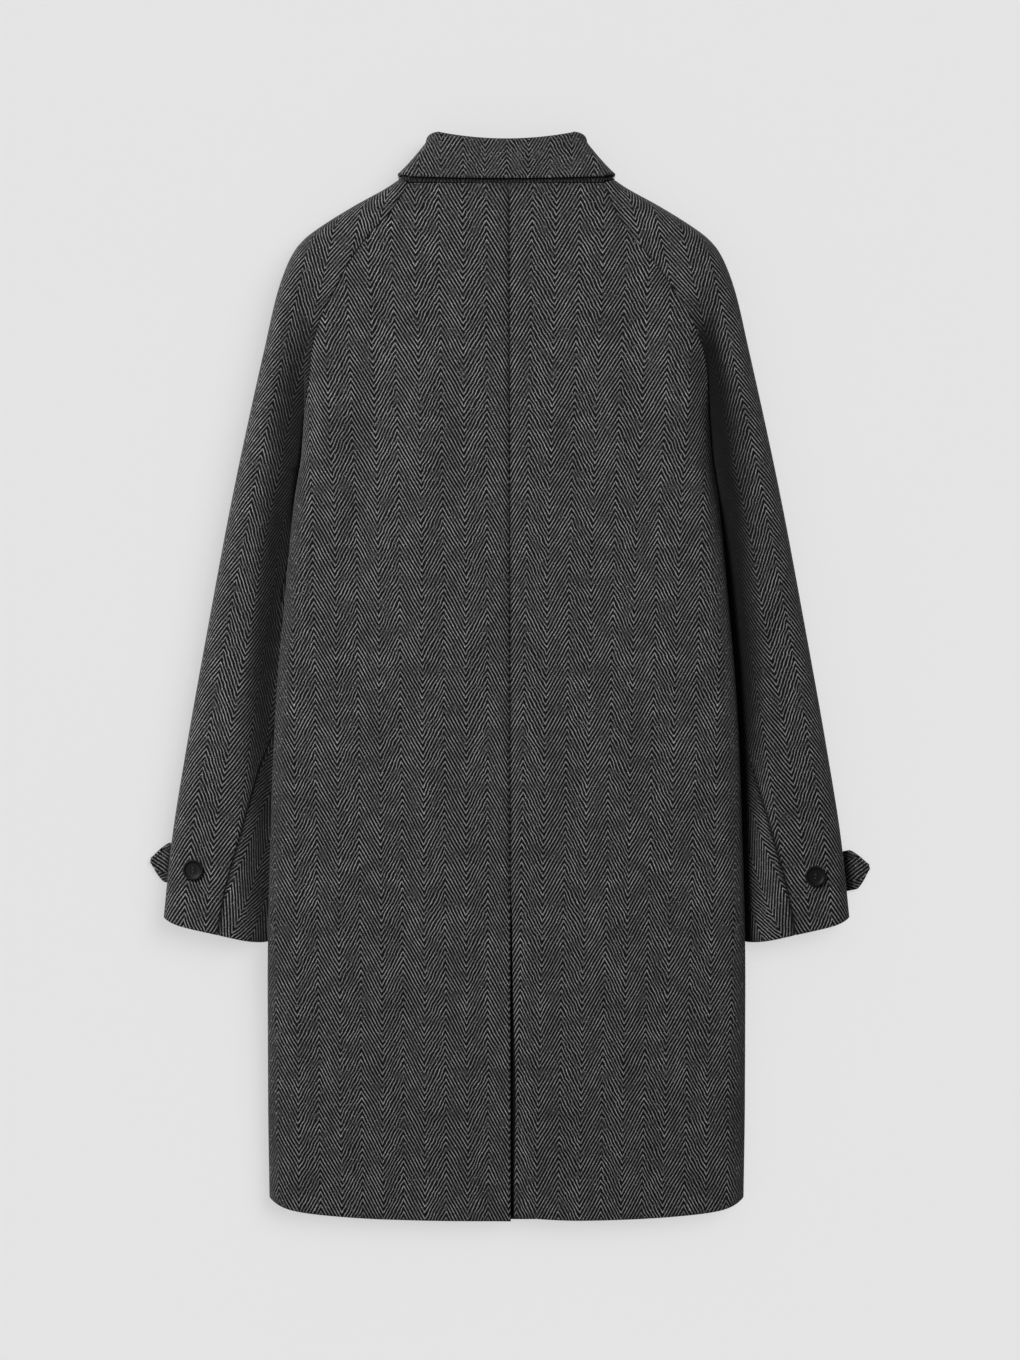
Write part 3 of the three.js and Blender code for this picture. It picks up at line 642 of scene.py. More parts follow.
class Nodes:
    """A material's node tree and the few kinds of node that the finishes use."""

    def __init__(self, name: str) -> None:
        """Starts an empty material.

        Args:
            name: The material's name.
        """
        self.material = bpy.data.materials.new(name)
        self.material.use_nodes = True
        self.tree = self.material.node_tree
        self.tree.nodes.clear()

    def add(self, kind: str, **settings: object) -> bpy.types.Node:
        """A new node with these settings."""
        node = self.tree.nodes.new(kind)
        for name, value in settings.items():
            setattr(node, name, value)
        return node

    def feed(
        self, value: bpy.types.NodeSocket | float | tuple[float, ...], socket: bpy.types.NodeSocket
    ) -> None:
        """Gives an input a linked value or a constant."""
        if isinstance(value, bpy.types.NodeSocket):
            self.tree.links.new(value, socket)
        else:
            socket.default_value = value

    def math(self, operation: str, *values: bpy.types.NodeSocket | float) -> bpy.types.NodeSocket:
        """One step of arithmetic."""
        node = self.add("ShaderNodeMath", operation=operation)
        for value, socket in zip(values, node.inputs):
            self.feed(value, socket)
        return node.outputs[0]

    def sum(self, *values: bpy.types.NodeSocket | float) -> bpy.types.NodeSocket:
        """The values added together."""
        total = values[0]
        for value in values[1:]:
            total = self.math("ADD", total, value)
        return total

    def scaled(self, value: bpy.types.NodeSocket, factor: float, shift: float) -> bpy.types.NodeSocket:
        """The value times a factor, then shifted."""
        return self.math("MULTIPLY_ADD", value, factor, shift)

    def around(self, noise: bpy.types.NodeSocket, middle: float, width: float) -> bpy.types.NodeSocket:
        """Noise stretched over a width round a middle."""
        return self.scaled(noise, width, middle - width / 2)

    def ramp(self, value: bpy.types.NodeSocket, low: float, high: float) -> bpy.types.NodeSocket:
        """A soft step of the value, from 0 at low to 1 at high."""
        node = self.add("ShaderNodeMapRange", interpolation_type="SMOOTHSTEP")
        self.feed(value, node.inputs["Value"])
        node.inputs["From Min"].default_value = low
        node.inputs["From Max"].default_value = high
        return node.outputs[0]

    def noise(self, source: bpy.types.NodeSocket, size: float, detail: float) -> bpy.types.NodeSocket:
        """Noise over the source, whose largest grain has this size in the source's unit."""
        node = self.add("ShaderNodeTexNoise")
        node.inputs["Scale"].default_value = 1 / size
        node.inputs["Detail"].default_value = detail
        self.feed(source, node.inputs["Vector"])
        return node.outputs[0]

    def blend(
        self,
        share: bpy.types.NodeSocket,
        first: bpy.types.NodeSocket | tuple[float, ...],
        second: bpy.types.NodeSocket | tuple[float, ...],
    ) -> bpy.types.NodeSocket:
        """The colour that lies a share of the way from the first to the second."""
        node = self.add("ShaderNodeMix", data_type="RGBA", clamp_factor=True)
        for name, value in (("Factor", share), ("A", first), ("B", second)):
            self.feed(value, node.inputs[name])
        return node.outputs["Result"]

    def bump(self, height: bpy.types.NodeSocket, strength: float, depth: float) -> bpy.types.NodeSocket:
        """The surface's direction under a relief whose depth is in millimetres."""
        node = self.add("ShaderNodeBump")
        node.inputs["Strength"].default_value = strength
        node.inputs["Distance"].default_value = depth * MM
        self.feed(height, node.inputs["Height"])
        return node.outputs["Normal"]

    def surface(
        self,
        colour: bpy.types.NodeSocket,
        normal: bpy.types.NodeSocket,
        roughness: float,
        specular: float,
        sheen: float = 0.0,
    ) -> None:
        """The surface shader, joined to the material's output.

        Args:
            colour: The base colour.
            normal: The surface's direction.
            roughness: How dull it is.
            specular: How strong its highlights are.
            sheen: How much soft fuzz shows at grazing angles.
        """
        shader = self.add("ShaderNodeBsdfPrincipled")
        self.feed(colour, shader.inputs["Base Color"])
        self.feed(normal, shader.inputs["Normal"])
        shader.inputs["Roughness"].default_value = roughness
        shader.inputs["Specular IOR Level"].default_value = specular
        shader.inputs["Sheen Weight"].default_value = sheen
        shader.inputs["Sheen Roughness"].default_value = 0.5
        out = self.add("ShaderNodeOutputMaterial")
        self.feed(shader.outputs[0], out.inputs["Surface"])


@dataclass
class Sheet:
    """A piece of cloth as a grid of points on its outer face, each with four values of its weave.

    They are the place across the grain, the place down it, how far the nap hides the weave
    and how much painted shade darkens the cloth there.
    """

    name: str
    points: Array
    weave: Array
    probe: tuple[int, int]
    faces_up: bool
    thickness: float = CUT.cloth
    rim_steps: int = 4
    rim_out: float = 0.4

    def normals(self) -> tuple[Array, bool]:
        """The outward direction at every point, and whether the grid's own direction was turned."""
        down = np.gradient(self.points, axis=0)
        across = np.gradient(self.points, axis=1)
        normal = np.cross(down, across)
        normal /= np.maximum(np.linalg.norm(normal, axis=2, keepdims=True), 1e-9)
        turned = bool(normal[self.probe][2] > 0) != self.faces_up
        return (-normal if turned else normal), turned

    def rim(self, normals: Array) -> tuple[Array, Array]:
        """The grid's border, in order round the piece.

        Args:
            normals: The outward direction at every point.

        Returns:
            The index of each border point, and the way out of the piece there.
        """
        high, wide = self.points.shape[:2]
        top = [(0, c) for c in range(wide)]
        right = [(r, wide - 1) for r in range(1, high)]
        bottom = [(high - 1, c) for c in range(wide - 2, -1, -1)]
        left = [(r, 0) for r in range(high - 2, 0, -1)]
        loop = np.array(top + right + bottom + left)
        down = np.gradient(self.points, axis=0)
        across = np.gradient(self.points, axis=1)
        down /= np.maximum(np.linalg.norm(down, axis=2, keepdims=True), 1e-9)
        across /= np.maximum(np.linalg.norm(across, axis=2, keepdims=True), 1e-9)
        r, c = loop[:, 0], loop[:, 1]
        out = (
            np.where(r == high - 1, 1.0, 0.0)[:, None] * down[r, c]
            - np.where(r == 0, 1.0, 0.0)[:, None] * down[r, c]
            + np.where(c == wide - 1, 1.0, 0.0)[:, None] * across[r, c]
            - np.where(c == 0, 1.0, 0.0)[:, None] * across[r, c]
        )
        normal = normals[r, c]
        out -= np.sum(out * normal, axis=1, keepdims=True) * normal
        out /= np.maximum(np.linalg.norm(out, axis=1, keepdims=True), 1e-9)
        return r * wide + c, out

    def build(self, material: bpy.types.Material) -> bpy.types.Object:
        """Makes the piece: both faces of the cloth and a rolled edge all round.

        Args:
            material: The cloth's finish.

        Returns:
            The new object, which rides on the coat.
        """
        high, wide = self.points.shape[:2]
        normals, turned = self.normals()
        border, out = self.rim(normals)
        outer = self.points.reshape(-1, 3)
        flat_normals = normals.reshape(-1, 3)
        inner = outer - flat_normals * self.thickness
        layers = [border]
        vertices = [outer, inner]
        weave = self.weave.reshape(len(outer), 4)
        weaves = [weave] * 2
        start = 2 * len(outer)
        radius = self.thickness / 2
        for step in range(1, self.rim_steps):
            angle = math.pi * step / self.rim_steps
            away = radius * math.cos(angle) * flat_normals[border] + self.rim_out * math.sin(angle) * out
            vertices.append(outer[border] - flat_normals[border] * radius + away)
            weaves.append(weave[border])
            layers.append(start + np.arange(len(border)))
            start += len(border)
        layers.append(border + len(outer))
        grid = np.arange(high * wide).reshape(high, wide)
        quad = np.stack([grid[:-1, :-1], grid[1:, :-1], grid[1:, 1:], grid[:-1, 1:]], axis=-1).reshape(-1, 4)
        faces = [quad, quad[:, ::-1] + high * wide]
        for before, after in zip(layers, layers[1:]):
            faces.append(np.stack([before, np.roll(before, -1), np.roll(after, -1), after], axis=-1))
        face_index = np.concatenate(faces)
        if turned:
            face_index = face_index[:, ::-1]
        return self._object(np.concatenate(vertices), face_index, np.concatenate(weaves), material)

    def _object(
        self, vertices: Array, faces: Array, weave: Array, material: bpy.types.Material
    ) -> bpy.types.Object:
        """The mesh object with its weave attribute, its painted shade attribute and its finish."""
        mesh = bpy.data.meshes.new(self.name)
        mesh.from_pydata((vertices * MM).tolist(), [], faces.tolist())
        mesh.polygons.foreach_set("use_smooth", np.ones(len(faces), bool))
        attribute = mesh.attributes.new("weave", "FLOAT_VECTOR", "POINT")
        attribute.data.foreach_set("vector", weave[:, :3].astype(np.float32).ravel())
        # The painted shade that darkens the cloth in creases, seams and under edges.
        attribute = mesh.attributes.new("hollow", "FLOAT", "POINT")
        attribute.data.foreach_set("value", weave[:, 3].astype(np.float32))
        mesh.materials.append(material)
        mesh.update()
        piece = bpy.data.objects.new(self.name, mesh)
        bpy.context.scene.collection.objects.link(piece)
        return piece

    def area(self) -> float:
        """The cut's area in square metres, on its outer face."""
        p = self.points
        first = np.cross(p[1:, :-1] - p[:-1, :-1], p[:-1, 1:] - p[:-1, :-1])
        second = np.cross(p[1:, :-1] - p[1:, 1:], p[:-1, 1:] - p[1:, 1:])
        total = np.linalg.norm(first, axis=2).sum() + np.linalg.norm(second, axis=2).sum()
        return float(total) / 2 * MM * MM

    def flat(self) -> tuple[float, float]:
        """The cut's greatest width and length in metres."""
        across = max(line_length(row)[-1] for row in self.points)
        down = max(line_length(column)[-1] for column in self.points.transpose(1, 0, 2))
        return float(across) * MM, float(down) * MM


def dress(sheet: Sheet, node: str, material: bpy.types.Material) -> bpy.types.Object:
    """Builds a cloth piece in place of its solid and declares its cut.

    Args:
        sheet: The piece.
        node: The solid that it stands for.
        material: The cloth's finish.

    Returns:
        The new object.
    """
    piece = sheet.build(material)
    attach(piece, "root")
    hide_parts(node)
    width, length = sheet.flat()
    area = min(sheet.area(), width * length)
    LOG.info("%s: cut %.0f x %.0f mm, %.3f square metres", sheet.name, width / MM, length / MM, area)
    return piece


def columns_between(*knots: tuple[float, int]) -> Array:
    """Places across a panel: each knot is a place and how many steps lead up to it."""
    places = [np.array([knots[0][0]])]
    for (start, _), (end, steps) in zip(knots, knots[1:]):
        places.append(np.linspace(start, end, steps + 1)[1:])
    return np.concatenate(places)


@dataclass
class Body:
    """The two backs and the two fronts."""

    wool: bpy.types.Material
    inset: float = 0.5
    back_rows: int = 236
    front_rows: int = 130
    last_angle: float = 0.09
    nap: float = 0.2
    # How far the centre seam's painted shade spreads on the left panel, whose side of the groove faces away
    # from the key light.
    left_shade_wide: float = 3.4

    def build(self) -> None:
        """Makes the four panels."""
        for side in Side:
            dress(self.back(side), f"back_{side.word}", self.wool)
            dress(self.front(side), f"front_{side.word}", self.wool)

    def side_inset(self, side: Side, station: float) -> float:
        """How far in from the raglan seam a row stops, so that its rolled edge ends there."""
        if station > CUT.underarm:
            return 0.0
        slope = (SHAPE.panel_side(side, station + 2) - SHAPE.panel_side(side, station)) / 2
        return self.inset * math.hypot(1, slope)

    def back(self, side: Side) -> Sheet:
        """A back panel, from the centre back seam to the raglan seam and the side."""
        rows, weaves = [], []
        for station in np.linspace(self.inset, CUT.hem_corner - self.inset, self.back_rows):
            to = SHAPE.panel_side(side, station)
            seam = float(SHAPE.seam_half(side, station))
            under = CUT.vent_underlap * float(smooth((station - CUT.vent_top) / CUT.vent_grow))
            start = seam + self.inset - (under if side is Side.RIGHT else 0)
            below = station > CUT.underarm
            end = to - self.side_inset(side, station)
            flat = columns_between(
                (start, 0),
                (seam + self.inset + 0.3, 8),
                (seam + 7, 12),
                (seam + 20, 5),
                (end - CUT.roll_body, 44),
            )
            angles = np.linspace(math.pi / 2, self.last_angle if below else 0.0, 21)[1:]
            half = np.concatenate([flat, end - CUT.roll_body * (1 - np.cos(angles))])
            share = clamp(np.abs(half) / to)
            drop = SHAPE.bowed(station, share, 0)
            if side is Side.RIGHT:
                drop = drop - 3.4 * smooth((station - CUT.vent_top) / 280) * bell(half - seam, 40)
            height = SHAPE.upper_wall(side, half, station, True if below else None)
            height = height + self.relief(side, half, drop, seam, to)
            points = place(side, half, drop, height)
            rows.append(points)
            weaves.append(self.back_weave(side, half, drop, points, seam, to))
        return Sheet(f"back_{side.word}_cloth", np.array(rows), np.array(weaves), (40, 20), True)

    def relief(self, side: Side, half: Array, drop: Array, seam: float, to: float) -> Array:
        """The back's small forms: its vent, creases, seams and uneven waves."""
        signed = side.value * half
        vented = smooth((drop - CUT.vent_top + 26) / 30)
        lift = sum(crease.height(signed, drop) for crease in BACK_CREASES)
        lift = lift + 0.42 * ripple(signed, drop) + 0.22 * ripple(2.3 * signed, 2.1 * drop, 3.0)
        lift = lift * clamp((to - half) / 26)
        from_seam = np.abs(half - seam)
        if side is Side.RIGHT:
            deep = smooth((drop - CUT.vent_top + CUT.vent_dive) / CUT.vent_dive)
            lift -= (CUT.cloth + CUT.gap) * deep * smooth((seam + 5 + 16 - half) / 16)
            open_by = self.vent_gap(drop)
            lift -= 1.6 * deep * smooth((seam + open_by + 1.5 - half) / 2)
        sunk = CENTRE_SEAM.sink(from_seam, drop + CENTRE_SEAM.pucker_run * signed / 6)
        lift -= (sunk + 0.3 * bell(from_seam, 2.2)) * (1 - vented)
        if side is Side.LEFT:
            lift += 0.5 * vented * bell(from_seam, 9)
        lift -= RAGLAN_SEWN.sink(to - half, drop) * above_underarm(drop, 0)
        lift -= 0.5 * bell(drop, 4)
        lift += 0.15 * np.sin(signed / 3.7) * bell(drop - 6, 9)
        return lift

    def vent_gap(self, drop: Array) -> Array:
        """How wide the vent stands open at a drop."""
        return mix(1.2, 5.2, smooth((drop - CUT.vent_top) / 200)) - 1.8 * smooth((drop - 900) / 130)

    def back_weave(
        self, side: Side, half: Array, drop: Array, points: Array, seam: float, to: float
    ) -> Array:
        """Where the weave lies on a back row, and its painted shade."""
        length = line_length(points)
        origin = int(np.argmin(np.abs(half - seam - 3)))
        away = (length - length[origin]) + (half[origin] - seam)
        first = GRAIN.at(side.word, drop)
        across = 21.75 + (away - first) / GRAIN.at("spread", drop)
        nap = 0.75 * smooth(1 - (to - half - 6) / 12) * smooth((drop - CUT.underarm + 30) / 60)
        nap = nap + 0.35 * bell(drop, 14)
        # Painted shade in the centre seam and raglan seam grooves and under the neck seam.
        wide = self.left_shade_wide if side is Side.LEFT else CENTRE_SEAM.shade_wide
        at_seam = CENTRE_SEAM.shade * bell(half - seam, wide) * smooth((CUT.vent_top - drop) / 20)
        at_raglan = RAGLAN_SEWN.dark(to - half) * above_underarm(drop)
        hollow = np.maximum(np.maximum(at_seam, at_raglan), 0.18 * bell(drop, 3))
        # Painted shade in the vent's open gap on the right panel and along the left panel's vent edge.
        if side is Side.RIGHT:
            open_by = self.vent_gap(drop)
            below_top = smooth((drop - CUT.vent_top + 6) / 10)
            hollow = np.maximum(hollow, below_top * smooth((seam + open_by + 0.6 - half) / 1.2))
        else:
            hollow = np.maximum(hollow, 0.85 * bell(half - seam, 1.1) * smooth((drop - CUT.vent_top) / 10))
        return np.stack([across, drop + 0 * half, clamp(nap), hollow], axis=-1)

    def front(self, side: Side) -> Sheet:
        """A front panel, which lies face down on the floor or on the other front."""
        rows, weaves = [], []
        for station in np.linspace(self.inset, CUT.hem_corner - self.inset, self.front_rows):
            to = SHAPE.panel_side(side, station)
            below = station > CUT.underarm
            end = to - self.side_inset(side, station)
            reach = CUT.roll_body_under if below else 1.0
            flat = columns_between((self.inset - CUT.closure_past, 0), (90, 28), (end - reach, 26))
            angles = np.linspace(math.pi / 2, self.last_angle if below else 0.0, 13)[1:]
            half = np.concatenate([flat, end - reach * (1 - np.cos(angles))])
            drop = SHAPE.bowed(station, clamp(np.abs(half) / to), 1)
            rest = SHAPE.under_wall(side, half, drop)
            turn = 1 - np.sqrt(1 - clamp((half - to + reach) / reach) ** 2) if below else 0.0
            edge = float(VALLEY.at("body", station))
            creases = sum(crease.height(side.value * half, drop) for crease in FRONT_CREASES)
            rest = rest + np.maximum(creases, 0) * clamp((to - half - 20) / 30)
            points = place(side, half, drop, mix(rest, edge, turn))
            rows.append(points)
            away = line_length(points) - 40
            weaves.append(np.stack([away, drop, np.full(half.shape, self.nap), 0 * half], axis=-1))
        return Sheet(f"front_{side.word}_cloth", np.array(rows), np.array(weaves), (60, 20), False)


@dataclass
class Sleeve:
    """The back half and the front half of each raglan sleeve."""

    wool: bpy.types.Material
    inset: float = 0.5
    rows: int = 196
    back_columns: int = 46
    front_columns: int = 60
    last: float = 759
    least_tuck: float = 2.6
    widest_seam: float = 53
    crease_depth: float = 4

    def build(self) -> None:
        """Makes both halves of both sleeves."""
        for side in Side:
            back, front = self.halves(side)
            dress(front, f"sleeve_front_{side.word}", self.wool)
            dress(back, f"sleeve_back_{side.word}", self.wool)

    def halves(self, side: Side) -> tuple[Sheet, Sheet]:
        """The two halves of a sleeve.

        Args:
            side: The side of the coat.

        Returns:
            The back half and the front half.
        """
        back, back_weave, front, front_weave = [], [], [], []
        for station in np.linspace(self.inset, self.last - self.inset, self.rows):
            over, under = self.section(side, float(station))
            points, weave = trimmed(*over, self.inset * 0.8, self.inset, self.back_columns)
            back.append(points)
            back_weave.append(weave)
            points, weave = trimmed(*under, self.inset, self.inset * 0.8, self.front_columns)
            front.append(points)
            front_weave.append(weave)
        middle = self.rows // 2
        return (
            self.half(f"sleeve_back_{side.word}_cloth", back, back_weave, (middle, 24), True),
            self.half(f"sleeve_front_{side.word}_cloth", front, front_weave, (middle, 50), False),
        )

    def half(
        self, name: str, rows: list[Array], weaves: list[Array], probe: tuple[int, int], faces_up: bool
    ) -> Sheet:
        """One half of a sleeve, whose rolled edges meet those of the other half."""
        return Sheet(name, np.array(rows), np.array(weaves), probe, faces_up, rim_out=self.inset)

    def section(self, side: Side, station: float) -> tuple[tuple[Array, Array], tuple[Array, Array]]:
        """One cross line of a sleeve, as its back half and its front half.

        Args:
            side: The side of the coat.
            station: The drop of its inner end.

        Returns:
            The points and weave of the back half, and those of the front half.
        """
        below = station > CUT.underarm
        outer_drop = float(CROSS_LINES.at("outer", station))
        outer_half = float(OUTER_EDGE.at("half", outer_drop))
        inner_half = SHAPE.panel_side(side, station)
        if below:
            inner_half += CUT.sleeve_clear - self.tucked(station)
        wide = math.hypot(outer_half - inner_half, station - outer_drop)
        outer_roll = min(CUT.roll_sleeve, 0.8 * wide)
        under_roll = min(CUT.roll_sleeve_under, 0.6 * wide)
        edge = float(HEIGHTS.at("edge", outer_drop))
        fold = CUT.sleeve_fold if below else 0.0
        settled = float(smooth((station - CUT.underarm) / 40))
        fold_edge = float(VALLEY.at("sleeve", station)) * float(mix(1, 0.5, settled))
        bow = 5 * float(smooth((station - 690) / 69))
        turn = np.linspace(0, math.pi / 2, 40)
        rolled = outer_roll * (1 - np.cos(turn))
        inward = np.concatenate([rolled, np.linspace(outer_roll, wide - fold, 90)[1:]])
        if fold:
            inward = np.concatenate([inward, wide - fold * (1 - np.cos(turn[::-2][:20]))])
            inward = np.unique(np.clip(inward, 0, wide))
        seam = wide - float(TUCK.at("seam", station)) if below else wide
        inward = np.union1d(inward, [seam])

        share = inward / wide
        drop = mix(outer_drop, station, share) + bow * (1 - np.abs(2 * share - 1) ** 6)
        half = mix(outer_half, inner_half, share)
        above = SHAPE.upper_wall(side, half, drop)
        if below:
            above = np.where(drop < CUT.underarm, above, SHAPE.sleeve_wall(half, drop))
        folded = quarter((wide - inward) / fold) if fold else np.ones_like(inward)
        detail = self.relief(side, half, drop, inward, seam, wide, below)
        from_body = half - BODY_SIDE.at("half", drop)
        deep = smooth((drop - CUT.underarm - 10) / 60) * smooth(1 - from_body / 26)
        detail = detail - self.crease_depth * deep
        # Painted shade in the crease where the sleeve goes under the body, darker on the right where the
        # body's shadow falls, and in the raglan and underarm seams.
        shaded = 0.97 if side is Side.RIGHT else 0.68
        low = smooth((drop - 420) / 300)
        grown = smooth((drop - 120) / 120)
        full = mix(mix(1, 13, grown), 1, low)
        fade = mix(mix(12, 30, grown), 18, low)
        hollow = shaded * smooth((drop - 95) / 75) * smooth(1 - (from_body - full) / fade)
        at_raglan = RAGLAN_SEWN.dark(wide - inward) * above_underarm(drop)
        at_underarm = UNDERARM_SEWN.dark(inward - seam) * where_seen(drop) if below else 0.0
        hollow = np.maximum(np.maximum(hollow, at_raglan), at_underarm)
        top = mix(edge, above, quarter(inward / outer_roll)) + detail
        top = mix(fold_edge, top, folded)
        rest = np.maximum(SHAPE.strap_lift(side, half, drop), SHAPE.leaf_lift(half, drop))
        low = mix(fold_edge, mix(edge, rest, quarter(inward / under_roll)), folded)

        over = place(side, half, drop, top)
        beneath = place(side, half, drop, low)[::-1]
        kept = inward <= seam
        back = over[kept]
        front = np.concatenate([over[inward >= seam], beneath]) if below else beneath
        back_weave = self.back_weave(side, back, half[kept], drop[kept])
        back_weave = np.column_stack([back_weave, hollow[kept]])
        front_drop = np.concatenate([drop[inward >= seam], drop[::-1]]) if below else drop[::-1]
        front_painted_shade = np.concatenate([hollow[inward >= seam], 0 * drop]) if below else 0 * drop
        first_half = half[inward >= seam][0] if below else inner_half
        front_weave = np.column_stack([self.front_weave(front, first_half, front_drop), front_painted_shade])
        return (back, back_weave), (front, front_weave)

    def tucked(self, station: float) -> float:
        """How far the sleeve's inner edge lies under the body's side."""
        tuck = float(TUCK.at("under", station))
        least = self.least_tuck * float(smooth((station - 280) / 22))
        return min(max(tuck, least), max(tuck, self.widest_seam - float(TUCK.at("seam", station))))

    def relief(
        self, side: Side, half: Array, drop: Array, inward: Array, seam: float, wide: float, below: bool
    ) -> Array:
        """The small forms of a sleeve's upper wall: creases, seams and uneven waves."""
        lift = sum(crease.height(-inward, drop) for crease in SLEEVE_CREASES)
        lift = lift + 0.35 * ripple(1.4 * side.value * half, drop, 5.0 + side.value)
        lift = lift * smooth(inward / 22) * smooth((wide - inward) / 22)
        if below:
            lift -= UNDERARM_SEWN.sink(inward - seam, drop) * where_seen(drop.mean())
        lift -= RAGLAN_SEWN.sink(wide - inward, drop) * above_underarm(drop, 0)
        return lift

    def back_weave(self, side: Side, points: Array, half: Array, drop: Array) -> Array:
        """Where the weave lies on a row of a sleeve's back half: its columns follow the outer edge."""
        length = line_length(points)
        plan = line_length(points * np.array([1, 1, 0]))
        middle = len(points) // 2
        excess = (length - length[middle]) - (plan - plan[middle])
        straight = 230.5 + (drop - 112) * 0.23
        edge = np.where(drop > 112, OUTER_EDGE.at("half", drop), straight)
        offset = 0.75 if side is Side.LEFT else 3.5
        across = (edge - half) * 0.983 + excess + offset
        down = half * math.sin(math.radians(10)) + drop * math.cos(math.radians(10))
        nap = 0.45 * bell(drop - 20, 60) * smooth((half - 150) / 50) + 0.55 * smooth(1 - length / 14)
        return np.stack([across, down, clamp(nap)], axis=-1)

    def front_weave(self, points: Array, first_half: float, drop: Array) -> Array:
        """Where the weave lies on a row of a sleeve's front half, whose grain leans further."""
        half = first_half - line_length(points)
        lean = math.radians(25)
        across = (half - 260.5) * math.cos(lean) - (drop - 722) * math.sin(lean)
        down = half * math.sin(lean) + drop * math.cos(lean)
        return np.stack([across, down, 0.1 + 0 * down], axis=-1)


